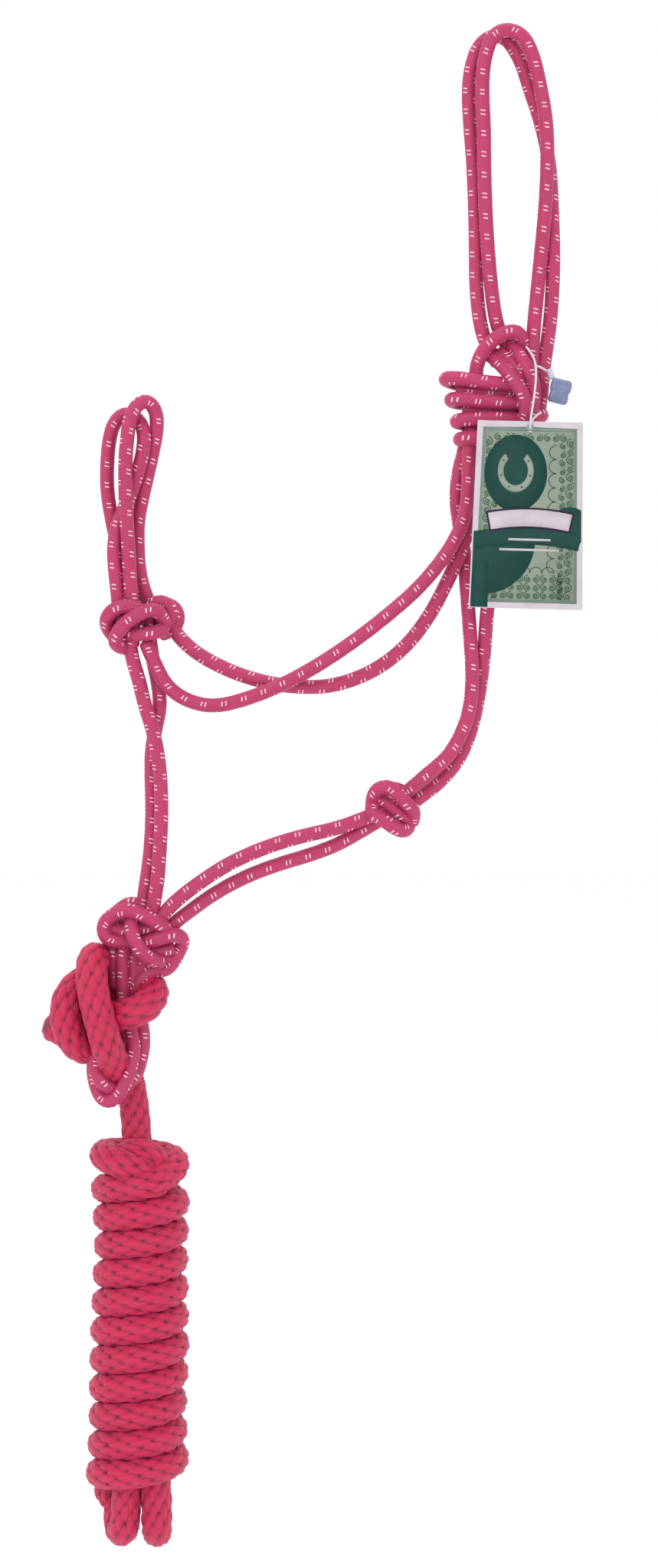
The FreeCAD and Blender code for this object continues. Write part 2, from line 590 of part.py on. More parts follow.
for thing in doc.Objects:
    if "Invalid" in thing.State or "Error" in thing.State:
        raise RuntimeError(f"{thing.Label} failed to build: {thing.State}")
shapes = {label: checked(label, piece) for label, piece in nodes.items()}
check_tube_volumes()

for name, radius in tightest.items():
    print(f"{name}: tightest arc {radius:.1f} mm")

os.makedirs("parts", exist_ok=True)
for label, shape in shapes.items():
    shape.exportStep(f"parts/{label}.step")
    print(f"{label}: {len(shape.Solids)} solid(s), {shape.Volume:.0f} mm3")
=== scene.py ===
import math

import bmesh
import bpy
from mathutils import Matrix, Vector


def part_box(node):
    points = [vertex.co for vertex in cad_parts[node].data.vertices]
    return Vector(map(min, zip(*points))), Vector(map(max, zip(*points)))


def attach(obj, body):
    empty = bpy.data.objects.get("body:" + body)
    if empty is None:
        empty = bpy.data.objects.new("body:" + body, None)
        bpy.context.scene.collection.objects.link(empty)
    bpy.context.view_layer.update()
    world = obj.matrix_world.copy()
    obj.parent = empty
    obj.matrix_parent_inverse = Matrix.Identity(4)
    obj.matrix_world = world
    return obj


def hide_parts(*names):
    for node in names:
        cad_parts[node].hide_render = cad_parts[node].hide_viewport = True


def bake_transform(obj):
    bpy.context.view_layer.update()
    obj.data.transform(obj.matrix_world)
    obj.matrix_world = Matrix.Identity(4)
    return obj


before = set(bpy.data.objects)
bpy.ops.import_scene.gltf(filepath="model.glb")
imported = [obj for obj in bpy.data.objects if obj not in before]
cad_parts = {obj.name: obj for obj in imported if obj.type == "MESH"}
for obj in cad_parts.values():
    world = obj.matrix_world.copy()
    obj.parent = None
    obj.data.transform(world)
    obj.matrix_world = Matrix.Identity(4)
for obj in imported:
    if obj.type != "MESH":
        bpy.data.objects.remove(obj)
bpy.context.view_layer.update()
scene = bpy.context.scene
mm = 0.001

# The camera stands level with the middle of the hanging halter.
cameraView = {
    "place": (-0.0807, -1.4, -0.3381),
    "frameHeight": 0.7168,  # what the frame takes in at the halter's distance
}

cameraData = bpy.data.cameras.new("camera")
cameraData.sensor_fit = "VERTICAL"
cameraData.sensor_height = 24
cameraData.lens = cameraData.sensor_height * -cameraView["place"][1] / cameraView["frameHeight"]
camera = bpy.data.objects.new("camera", cameraData)
camera.location = cameraView["place"]
camera.rotation_euler = (math.radians(90), 0, 0)
scene.collection.objects.link(camera)
scene.camera = camera


def linear(hexColour):
    channels = []
    for start in (1, 3, 5):
        value = int(hexColour[start:start + 2], 16) / 255
        channels.append(value / 12.92 if value <= 0.04045 else ((value + 0.055) / 1.055) ** 2.4)
    return (*channels, 1)


def addNode(tree, kind, settings):
    # a setting is a property of the node, the value of an input, or a socket to link to it
    node = tree.nodes.new(kind)
    for key, value in settings.items():
        if key == "stops":
            for place, _ in value[2:]:
                node.color_ramp.elements.new(place)
            for element, (place, colour) in zip(node.color_ramp.elements, value):
                element.position, element.color = place, linear(colour)
        elif isinstance(value, bpy.types.NodeSocket):
            tree.links.new(value, node.inputs[key])
        elif isinstance(key, str) and hasattr(node, key):
            setattr(node, key, value)
        else:
            node.inputs[key].default_value = value
    return node


def newMaterial(name):
    material = bpy.data.materials.new(name)
    material.use_nodes = True
    material.node_tree.nodes.clear()
    return material, material.node_tree


def finishMaterial(tree, settings):
    shader = addNode(tree, "ShaderNodeBsdfPrincipled", settings).outputs[0]
    addNode(tree, "ShaderNodeOutputMaterial", {"Surface": shader})


def placed(points, diameter):
    # points are (x, lay, z) with x and z in millimetres; lay is the depth in diameters
    return [Vector((x * mm, lay * diameter, z * mm)) for x, lay, z in points]


def routeLine(points, step):
    # evenly spaced points on the smooth spline that the route's points steer
    curve = bpy.data.curves.new("route", "CURVE")
    curve.dimensions = "3D"
    curve.resolution_u = 10
    spline = curve.splines.new("NURBS")
    spline.points.add(len(points) - 1)
    for knot, place in zip(spline.points, points):
        knot.co = (*place, 1)
    spline.order_u = 3
    spline.use_endpoint_u = True
    holder = bpy.data.objects.new("route", curve)
    traced = bpy.data.meshes.new_from_object(holder)
    corners = [v.co.copy() for v in traced.vertices]
    bpy.data.objects.remove(holder)
    bpy.data.curves.remove(curve)
    bpy.data.meshes.remove(traced)
    total = sum((b - a).length for a, b in zip(corners, corners[1:]))
    count = max(2, round(total / step))
    line, walked, target = [corners[0]], 0.0, total / count
    for a, b in zip(corners, corners[1:]):
        run = (b - a).length
        while run > 0 and walked + run >= target - 1e-9 and len(line) < count:
            line.append(a.lerp(b, (target - walked) / run))
            target += total / count
        walked += run
    line.append(corners[-1])
    return line


def lineLength(line):
    return sum((b - a).length for a, b in zip(line, line[1:]))


def meshObject(name, meshBuilder, material):
    mesh = bpy.data.meshes.new(name)
    meshBuilder.to_mesh(mesh)
    meshBuilder.free()
    mesh.materials.append(material)
    made = bpy.data.objects.new(name, mesh)
    scene.collection.objects.link(made)
    return made


def finishPiece(name, meshBuilder, material, body, nodes=()):
    bmesh.ops.recalc_face_normals(meshBuilder, faces=meshBuilder.faces)
    for face in meshBuilder.faces:
        face.smooth = True
    piece = meshObject(name, meshBuilder, material)
    if body:
        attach(piece, body)
    if nodes:
        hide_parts(*nodes)
    return piece


def ropeFrames(line):
    # where each ring of the rope stands, and a side direction that never twists on the way
    tangents = [
        (line[min(i + 1, len(line) - 1)] - line[max(i - 1, 0)]).normalized()
        for i in range(len(line))
    ]
    side = tangents[0].cross(Vector((0, -1, 0)))
    if side.length < 0.2:
        side = tangents[0].cross(Vector((1, 0, 0)))
    sides = [side.normalized()]
    for before, after in zip(tangents, tangents[1:]):
        side = before.rotation_difference(after) @ sides[-1]
        sides.append((side - after * side.dot(after)).normalized())
    return tangents, sides


roundEnd = {"angles": (25, 50, 75), "rise": 0.6, "tip": 0.35}  # shares of the rope's radius


def sweepRope(meshBuilder, line, rope, roll=0.0, span=None, blunt=True):
    # rolls a flat grid up along the line; a blunt rope has rounded ends
    radius, segments = rope["diameter"] / 2, rope["segments"]
    tangents, sides = ropeFrames(line)
    step = (line[1] - line[0]).length
    rings = [(line[i], tangents[i], sides[i], 1.0, i * step) for i in range(len(line))]
    if span:
        rings = rings[span[0]:span[1] + 1]
    if blunt:
        first, last = rings[0], rings[-1]
        for angle in roundEnd["angles"]:
            rise = radius * roundEnd["rise"] * math.sin(math.radians(angle))
            thin = roundEnd["tip"] + (1 - roundEnd["tip"]) * math.cos(math.radians(angle))
            rings.insert(0, (first[0] - first[1] * rise, *first[1:3], thin, first[4] - rise))
            rings.append((last[0] + last[1] * rise, *last[1:3], thin, last[4] + rise))
    grid = bmesh.ops.create_grid(
        meshBuilder, x_segments=segments, y_segments=len(rings) - 1, size=1)["verts"]
    where = {vert: (round((vert.co.x + 1) / 2 * segments),
                    round((vert.co.y + 1) / 2 * (len(rings) - 1))) for vert in grid}
    pattern = meshBuilder.loops.layers.uv.verify()
    for face in {face for vert in grid for face in vert.link_faces}:
        for corner in face.loops:
            around, number = where[corner.vert]
            corner[pattern].uv = (around / segments, rings[number][4])
    height = meshBuilder.verts.layers.float.get("braid")
    seam, mates = {}, {}
    for vert, (around, number) in where.items():
        place, tangent, side, scale, along = rings[number]
        angle = math.radians(roll) + math.tau * around / segments
        reach = radius * scale
        if "relief" in rope:
            crest = braidHeight(around / segments, along, rope)
            vert[height] = crest
            reach += rope["relief"] * (crest - rope["evenHeight"]) * scale
        vert.co = place + (side * math.sin(angle) + side.cross(tangent) * math.cos(angle)) * reach
        if around in (0, segments):
            (seam if around == segments else mates)[number] = vert
    ends = [[v for v, (around, number) in where.items() if number == end and around < segments]
            for end in (0, len(rings) - 1)]
    bmesh.ops.weld_verts(meshBuilder, targetmap={seam[n]: mates[n] for n in seam})
    for end in ends:
        for face in bmesh.ops.contextual_create(meshBuilder, geom=end)["faces"]:
            for edge in face.edges:
                edge.smooth = blunt  # a flat end keeps its edge crisp


# Routes of the halter's ropes, from knot to knot, as (x, lay, z): x and z in millimetres,
# lay the depth in rope diameters.
halterRoutes = {
    "crownRopeFront": [
        (14.5, 0.25, -164.5), (13, 0.2, -154), (12, -0.1, -141.5), (13, -0.15, -127),
        (14.5, -0.1, -112.5), (16, -0.15, -97), (18, -0.4, -76), (19, -0.5, -55),
        (18.5, -0.5, -35.5), (15.2, -0.5, -17.5), (12.2, -0.5, -5), (7.5, -0.5, 4),
        (-0.5, -0.45, 6.5), (-6.5, -0.4, 3), (-10, -0.4, -7), (-11, -0.4, -21), (-10, -0.5, -39),
        (-10, -0.45, -56.5), (-9, -0.35, -84.5), (-7, -0.3, -109), (-5, -0.05, -124),
        (-2, 0.35, -133.5), (3, 0.3, -140.5),
    ],
    "crownRopeRear": [
        (15, -0.1, -168), (16.5, -0.05, -159.5), (17, 0.1, -150.5), (18.5, 0.3, -140.5),
        (20.5, 0.3, -127), (21.5, 0.2, -112.5), (22, 0.25, -97), (21.5, 0.5, -76), (20.5, 0.5, -55),
        (17, 0.5, -36.5), (10.7, 0.5, -18), (7.6, 0.5, -7.8), (3.7, 0.5, -0.6), (0, 0.5, 4),
        (-6, 0.5, 5), (-12, 0.5, 0.5), (-15.5, 0.45, -8.5), (-17, 0.45, -21), (-16, 0.45, -37.5),
        (-14.5, 0.5, -55), (-13.5, 0.4, -84.5), (-13.5, 0.3, -109), (-12, 0.2, -126),
        (-9, 0.3, -137), (-4, 0.3, -145),
    ],
    "tieEye": [
        (-14.5, 0.15, -162.5), (-13.5, 0, -154.5), (-13.5, -0.15, -148), (-11.5, -0.4, -142),
        (-7.5, -0.7, -137), (-2, -0.85, -133), (4, -0.8, -131.5), (7.2, -0.5, -134),
        (8.5, 0.2, -139), (7.2, 0.9, -145),
    ],
    "tailStrandLower": [
        (-7, 0.2, -142), (-3, -0.6, -146), (1.6, -1.35, -152.5), (5.5, -1.7, -158),
        (8.5, -1.7, -164), (9, -1.4, -170.5), (7, -1, -175.5),
    ],
    "tailStrandUpper": [
        (0.5, 0.4, -134.5), (4.4, -0.2, -139.5), (7.5, -1, -145.5), (10.6, -1.35, -151.5),
        (12.5, -1.3, -157.5), (12, -1.1, -165), (11, -0.9, -171.5),
    ],
    "cheekRopeNear": [
        (-15.5, -0.1, -176.5), (-17, -0.3, -187), (-17, -0.45, -200), (-18, -0.5, -213.5),
        (-21, -0.5, -222.5), (-27.5, -0.5, -234), (-39, -0.5, -248), (-52, -0.5, -259.5),
        (-66.5, -0.5, -271), (-84, -0.5, -283), (-101, -0.5, -292.5), (-117, -0.45, -299),
        (-132.5, -0.3, -303), (-145, -0.15, -300.5), (-154.5, -0.1, -294), (-159.5, -0.1, -285),
        (-164, -0.1, -274.5),
    ],
    "cheekRopeOff": [
        (-10.5, 0.3, -176.5), (-10, 0.3, -189.5), (-12, 0.3, -203.5), (-16, 0.4, -219.5),
        (-21.5, 0.45, -234), (-26.5, 0.5, -245.5), (-34.5, 0.5, -261), (-45.5, 0.5, -275.5),
        (-60, 0.5, -286.5), (-77, 0.5, -293), (-92.5, 0.5, -294), (-108.5, 0.5, -292),
        (-123.5, 0.55, -287.5), (-137, 0.65, -281), (-146, 0.75, -274.5), (-152, 0.9, -267.5),
        (-156, 1.1, -261),
    ],
    "throatRopeUpperNear": [
        (-16, 0.75, -174.5), (-19, 0.8, -186), (-21.5, 0.8, -196), (-22.5, 0.85, -207),
        (-21, 1.15, -218.5), (-18.5, 1.4, -230.5), (-18, 1.2, -242), (-17, 0.7, -256),
        (-16, 0.2, -272), (-15, -0.1, -287.5), (-16, -0.3, -302.5), (-19.5, -0.4, -314),
        (-26, -0.45, -325.5), (-34.5, -0.45, -332.5), (-42, -0.35, -339), (-49, -0.1, -345),
    ],
    "throatRopeUpperOff": [
        (-6.5, 0.3, -174.5), (-5, 0.3, -189.5), (-4.5, 0.35, -207), (-5, 0.4, -224.5),
        (-6, 0.5, -242), (-8.5, 0.45, -259.5), (-9.5, 0.55, -277), (-11.5, 0.55, -294.5),
        (-15, 0.6, -312), (-20.5, 0.6, -326), (-29, 0.55, -336.5), (-38, 0.5, -343.5),
        (-47, 0.3, -350),
    ],
    "throatRopeLowerNear": [
        (-161, -0.1, -404), (-156, -0.1, -397), (-150, -0.15, -391), (-140.5, -0.25, -383.5),
        (-126, -0.3, -374), (-110, -0.3, -367), (-94, -0.3, -362), (-77.5, -0.25, -358.5),
        (-65, -0.15, -354), (-55.5, 0, -350),
    ],
    "throatRopeLowerOff": [
        (-159, 0.4, -409.5), (-152, 0.45, -402), (-144, 0.5, -396), (-133, 0.5, -388),
        (-119, 0.5, -380.5), (-104.5, 0.5, -375), (-89, 0.5, -370.5), (-77, 0.5, -366),
        (-66.5, 0.45, -360), (-56.5, 0.4, -354),
    ],
    "chinRopeNear": [
        (-172, 0.1, -271), (-171, 0.05, -280), (-167.5, -0.05, -290.5), (-165, -0.15, -301.5),
        (-161.5, -0.35, -312), (-159, -0.45, -322.5), (-157.5, -0.45, -335), (-157, -0.45, -352.5),
        (-158, -0.4, -370), (-159, -0.3, -384), (-161.5, -0.1, -397),
    ],
    "chinRopeOff": [
        (-163, 0.9, -271), (-161.5, 0.85, -281.5), (-159, 0.8, -292), (-158, 0.7, -302.5),
        (-160, 0.6, -312), (-162, 0.55, -322.5), (-162, 0.5, -335), (-161.5, 0.5, -352.5),
        (-162.5, 0.45, -370), (-164.5, 0.45, -384), (-166.5, 0.4, -397),
    ],
    "nosebandRopeFront": [
        (-170, -0.2, -261.5), (-170.8, -0.55, -253.5), (-171.6, -0.6, -242), (-172, -0.6, -231.5),
        (-173, -0.6, -217.5), (-173.5, -0.6, -203.5), (-173.5, -0.6, -189.5), (-172.5, -0.6, -179),
        (-171.5, -0.6, -171.5), (-168, -0.5, -164.5), (-163, -0.2, -163), (-159.5, 0.15, -168),
        (-159.5, 0.5, -176), (-161.5, 0.7, -186), (-164, 0.9, -196.5), (-166.5, 1, -207),
        (-168.5, 1, -217.5), (-168.5, 0.9, -228), (-168, 0.8, -238.5), (-166, 0.85, -248.5),
        (-162.5, 1, -257),
    ],
    "nosebandRopeRear": [
        (-176.3, -0.15, -262), (-177, -0.25, -252.5), (-178.2, -0.3, -242), (-179, -0.25, -231.5),
        (-178, -0.05, -222), (-175, 0.25, -213.5), (-171.5, 0.35, -205.5), (-168.5, 0.15, -196.5),
        (-166, 0, -188), (-165, 0, -180.5), (-166, 0.25, -174), (-170, 0.45, -169.3),
        (-175, 0.55, -168.3), (-179.2, 0.6, -172.5), (-181.5, 0.7, -180), (-182.5, 0.75, -191.5),
        (-182.5, 0.8, -203.5), (-180.5, 0.9, -216), (-178, 0.95, -227.5), (-174.5, 1, -238.5),
        (-171, 1.1, -250), (-165, 1.3, -259),
    ],
    "chinLoopNear": [
        (-171.5, 0.3, -402), (-173.5, 0.15, -409), (-175, 0, -416), (-175.5, 0.1, -425),
        (-175, 0.2, -434.5), (-173, 0.1, -443.5), (-171, 0, -451.5), (-169.5, -0.2, -459),
        (-171, -0.45, -467.5), (-174, -0.55, -475.8), (-178.5, -0.4, -482.6), (-184, -0.05, -483),
        (-187.7, 0.3, -476), (-189, 0.45, -465.5), (-187, 0.5, -456.5),
    ],
    "chinLoopOff": [
        (-159, 0.2, -420.5), (-163, 0.1, -424.5), (-168, 0.1, -429.5), (-170, 0.5, -436),
        (-167.5, 0.6, -443), (-166.2, 0.55, -449.5), (-165.6, 0.5, -457), (-166.8, 0.5, -464.5),
        (-169.5, 0.5, -472.8), (-175.5, 0.35, -477.3), (-182, -0.45, -476.8),
        (-186.5, -0.65, -471.5), (-188.5, -0.4, -464), (-186, 0, -456.5),
    ],
}

# The turns that each knot shows.
knotBands = {
    "noseKnotNear": [
        [(-164.5, -0.5, -260), (-168.5, -1, -258), (-175, -1.15, -257), (-180, -1, -259.5),
         (-182.5, -0.6, -263.5), (-181.5, 0, -268), (-178.5, 0.5, -271)],
        [(-155.5, 0.1, -265), (-157.5, -0.5, -260), (-161.5, -1.1, -258.5), (-168, -1.35, -261),
         (-174, -1.35, -265.5), (-178, -1.1, -271), (-178, -0.6, -275), (-174.5, 0, -276)],
        [(-171.5, -0.4, -269.5), (-166, -0.75, -270), (-160, -0.75, -269), (-156.5, -0.3, -268),
         (-157, 0.4, -266)],
        # the noseband's strands pass down inside
        [(-177, 0.1, -258), (-177, 0.15, -265), (-175.5, 0, -272)],
        [(-169.5, -0.2, -259), (-170, -0.1, -266), (-170.5, 0, -274)],
        [(-162, 0.5, -257), (-163, 0.3, -264), (-163.5, 0.4, -272)],
    ],
    "noseKnotOff": [
        [(-165, 0.7, -264), (-163, 0.5, -257.5), (-158.5, 0.3, -254), (-153.5, 0.35, -256.5),
         (-152.5, 0.65, -263), (-157, 0.95, -268.5)],
        [(-157, 1.2, -255), (-152, 1, -256), (-149.5, 0.95, -261.5), (-151.5, 1.1, -267),
         (-157, 1.4, -269)],
    ],
    "throatKnot": [
        [(-61, 0.2, -349.5), (-61, -0.3, -344.5), (-58.5, -0.8, -340), (-53.5, -1.1, -339),
         (-49, -1.15, -343), (-45, -1, -347.5), (-41.5, -0.5, -350.5), (-42.5, 0.2, -355)],
        [(-56, 0.2, -345), (-61.5, -0.3, -348), (-61, -0.8, -352), (-56.5, -1, -354),
         (-52, -1, -357.5), (-47, -0.6, -360), (-43.5, 0.1, -357.5), (-45, 0.8, -353)],
        [(-56.5, 0.5, -341), (-51, 0.9, -339.5), (-45.5, 1.1, -342.5), (-43.5, 1.1, -348),
         (-47.5, 1, -353.5), (-54, 0.9, -354)],
        # the strand inside, between the two front turns
        [(-59, 0.1, -343.5), (-55, -0.3, -346.5), (-50.5, -0.45, -350), (-46.5, -0.3, -353.5),
         (-43.5, 0.1, -355.5)],
    ],
    "fiadorKnot": [
        [(-171, -0.2, -410), (-177, -0.45, -410), (-182, -0.5, -409), (-184, -0.6, -404),
         (-181.5, -0.75, -399), (-174, -0.95, -395), (-166.5, -1, -397), (-159.5, -0.9, -401),
         (-154.5, -0.4, -404.5), (-154, 0.3, -409)],
        [(-171, -0.1, -397.5), (-171, -0.9, -402.5), (-169.5, -1.4, -408.5), (-166.5, -1.4, -413.5),
         (-162, -1, -418), (-158, -0.3, -419.5)],
        [(-166.5, -0.4, -411), (-161, -0.65, -409.5), (-154.5, -0.65, -407.5), (-150, -0.4, -406.5),
         (-147, 0.3, -409.5), (-149.5, 0.6, -415), (-152, 0.5, -420), (-156, 0.3, -424),
         (-161.5, 0.3, -423.5)],
        [(-179, 0.3, -398), (-174.5, 0.4, -393.5), (-169, 0.5, -392.5), (-164, 0.5, -396)],
        # strands inside, seen through the turns
        [(-183, -0.1, -403), (-177, -0.1, -405), (-170, -0.2, -405), (-162, -0.1, -404),
         (-156, 0, -403.5)],
        [(-180, 0.4, -399.5), (-174, 0.3, -400), (-166, 0.3, -400.5), (-157, 0.1, -406)],
        [(-168, 0.2, -411.5), (-163, 0.1, -414), (-158, 0.1, -415), (-153, 0.2, -413.5)],
        [(-165, 0.6, -414), (-160, 0.5, -418), (-154.5, 0.4, -419)],
        # and between this knot and the hitch of the lead
        [(-169.3, 0.5, -409), (-169.5, 0.4, -417), (-169.8, 0.4, -426), (-170.5, 0.5, -434)],
        [(-180.5, 0.6, -402), (-180, 0.5, -410), (-179.5, 0.4, -420), (-178, 0.5, -430)],
        [(-163.5, 0.3, -415), (-165.5, 0.4, -421.5), (-168, 0.5, -428)],
    ],
    "tailWraps": [
        [(8.5, -0.6, -156.5), (0, -0.8, -156), (-10.5, -0.8, -155), (-20, -0.8, -153.5),
         (-25.5, -0.7, -153), (-28, 0, -153), (-25.5, 0.75, -153.5), (-19.5, 0.95, -155),
         (-8, 1, -156)],
        [(10.5, -0.7, -165), (1.5, -0.8, -164.5), (-9, -0.8, -164), (-17.5, -0.8, -163),
         (-23, -0.7, -162.5), (-25.5, 0, -162.5), (-23, 0.75, -163), (-17, 0.95, -163.5),
         (-6, 1, -164)],
        [(10.5, -0.6, -172.5), (1.5, -0.8, -172), (-8, -0.8, -171.5), (-15, -0.8, -172),
         (-20.5, -0.7, -172), (-23, 0, -172.5), (-20.5, 0.75, -172.5), (-14.5, 0.95, -173),
         (-5, 1, -173)],
        [(10.5, -0.6, -182), (0.5, -0.8, -181.5), (-7, -0.85, -181.5), (-14, -0.8, -180.5),
         (-19, -0.7, -180.5), (-21.5, 0, -180.5), (-19, 0.75, -181), (-13, 0.95, -181.5),
         (-4, 1, -182)],
        [(5, 1, -169), (10.5, 0.95, -169.5), (15, 0.65, -169.5), (17, 0, -169.5),
         (15, -0.65, -170.5), (10.5, -0.95, -171.5)],
        # the strands that the turns are wound round
        [(-21, 0, -158.5), (-10, -0.1, -159.5), (3, -0.1, -160)],
        [(-18, 0, -167.5), (-8, -0.1, -167.7), (4, -0.1, -168)],
        [(-15, 0, -176.8), (-5, -0.1, -177), (6, -0.1, -177.3)],
        [(-2, 0.1, -141), (3.5, -0.6, -147), (7.5, -0.9, -153.5), (10, -0.9, -162)],
    ],
}

# The knot of the lead, with lay in lead diameters.
leadKnotBands = [
    [(-206.5, 0.35, -449.5), (-201.5, 0.6, -452), (-195.5, 0.8, -452), (-188.5, 0.8, -448)],
    [(-192, 0.55, -453), (-184, 0.25, -447.5), (-178, -0.3, -443.5), (-171, -0.7, -442.5),
     (-164, -0.65, -439.5), (-160.5, -0.1, -434.5), (-162, 0.55, -431), (-169, 0.9, -430)],
    [(-168, 0.9, -430.5), (-176, 0.9, -429), (-184, 0.75, -428), (-191.5, 0.4, -428),
     (-197.5, -0.1, -431.5), (-200.5, -0.5, -438.5), (-200.5, -0.55, -446.5), (-198, -0.4, -454.5),
     (-193, 0.1, -460), (-187, 0.7, -459.5)],
    [(-185.5, 0.8, -458.5), (-181.5, 0.9, -448.5), (-179.5, 0.95, -438.5), (-181.5, 0.9, -429.5),
     (-185, 0.7, -421), (-187.5, 0, -416.5), (-188.5, -0.8, -420.5), (-188, -1.1, -429),
     (-186, -1.15, -439), (-183, -1, -450.5), (-180.5, -0.7, -460.5), (-178, 0, -467.5)],
    # the part of the rope that lies inside, behind the upright turn
    [(-190, 0.3, -428), (-191, 0.1, -440), (-189.5, 0.05, -450), (-186, 0.1, -459)],
]


halterRope = {"diameter": 6.5 * mm, "segments": 24, "step": 1.6 * mm}
leadRope = {
    "diameter": 13 * mm,
    "segments": 70,
    "step": 1.5 * mm,
    "columns": 14,  # stitches round the rope
    "stitchSpacing": 8.2,  # mm along one row of stitches
    "stitchHalf": (0.53, 0.72),  # half a stitch along, in spacings, and across, in columns
    "stitchSlant": 0.05,
    "stitchLean": -0.4,  # how far a stitch swings across the rope over its length, in columns
    "relief": 1.35 * mm,  # how far a stitch stands over a pit
    "evenHeight": 0.65,  # the height that lies at the rope's own radius
}
leadRope["columnWidth"] = math.pi * leadRope["diameter"] / leadRope["columns"]

def ropeMaterial(name, look, steps):
    # each step is a result, what is done and with what; a result that ends in Mask stays in 0 to 1
    material, tree = newMaterial(name)
    place = addNode(tree, "ShaderNodeTexCoord", {}).outputs
    parts = addNode(tree, "ShaderNodeSeparateXYZ", {0: place["UV"]}).outputs
    found = {"around": parts[0], "metres": parts[1]}
    if "heights" in look:
        found["height"] = addNode(tree, "ShaderNodeAttribute", {
            "attribute_name": look["heights"]}).outputs["Fac"]
    if "patchScale" in look:
        found["patches"] = addNode(tree, "ShaderNodeTexNoise", {
            "Scale": look["patchScale"], "Detail": 3, "Vector": place["Object"]}).outputs["Fac"]
    for result, operation, first, second in steps:
        found[result] = addNode(tree, "ShaderNodeMath", {
            "operation": operation, "use_clamp": result.endswith("Mask"),
            0: found.get(first, first), 1: found.get(second, second)}).outputs[0]
    # the ramp paints shade into the hollows and highlight on the raised parts, from the relief,
    # with cloudy patches mixed in where a rope has them
    colour = addNode(tree, "ShaderNodeValToRGB", {
        "Fac": found.get("paintedShadeAndPatchesMask", found["relief"]), "stops": look["stops"]}).outputs["Color"]
    # the mark is the sheath's white tracer yarns, and painted shade in the braid's pits
    if "mark" in look:
        colour = addNode(tree, "ShaderNodeMix", {
            "data_type": "RGBA", 0: found["markMask"], 6: colour,
            7: linear(look["mark"])}).outputs[2]
    strength, depth = look["bump"]
    bump = addNode(tree, "ShaderNodeBump", {
        "Strength": strength, "Distance": depth, "Height": found["relief"]}).outputs["Normal"]
    finishMaterial(tree, {
        "Base Color": colour, "Roughness": found.get("roughness", 0.5), "Normal": bump,
        **look["shine"]})
    return material


# Kernmantle cord: a core under a tight, smooth sheath woven from fine polyester yarn. The sheath
# has a soft shine and shows pairs of short white tracer yarns in four rows round the rope.
sheathLook = {
    "stops": [(0.35, "#871f44"), (0.95, "#bc3062")],  # painted shade between the yarns, the sheath's own colour on the yarns
    "mark": "#f0cfdb",  # the tracer yarns
    "patchScale": 60,
    "bump": (0.5, 0.0002),
    "shine": {"IOR": 1.5, "Sheen Weight": 0.3, "Sheen Roughness": 0.4,
              "Sheen Tint": linear("#e79ad2")},
    "pairSpacing": 9.4,  # mm from one pair to the next along the rope
    "rows": 4,
    "dashGap": 0.9,  # mm from the middle of a pair to each of its dashes
    "dashWidth": 1.05,  # mm, half of a dash across the rope
    "dashThickness": 0.26,  # mm, half of a dash along the rope
    "dashLean": 0.18,
    "softEdge": (0.05, 0.15),  # mm that a dash fades over, along and across the rope
    "edgeSharpness": (8, 3),
    "rises": (0.6, 0.3),  # how far the yarns and the dashes stand out
    "patches": (0.5, 0.72),  # strength of the cloudy patches, and the shade they start from
    "gloss": (0.15, 0.48),  # spread of the roughness, and the least of it
    "yarns": 22,  # yarns round the sheath
    "yarnRise": 3.0,  # mm along the rope for one yarn step, drawn coarser than the real 2 mm
}
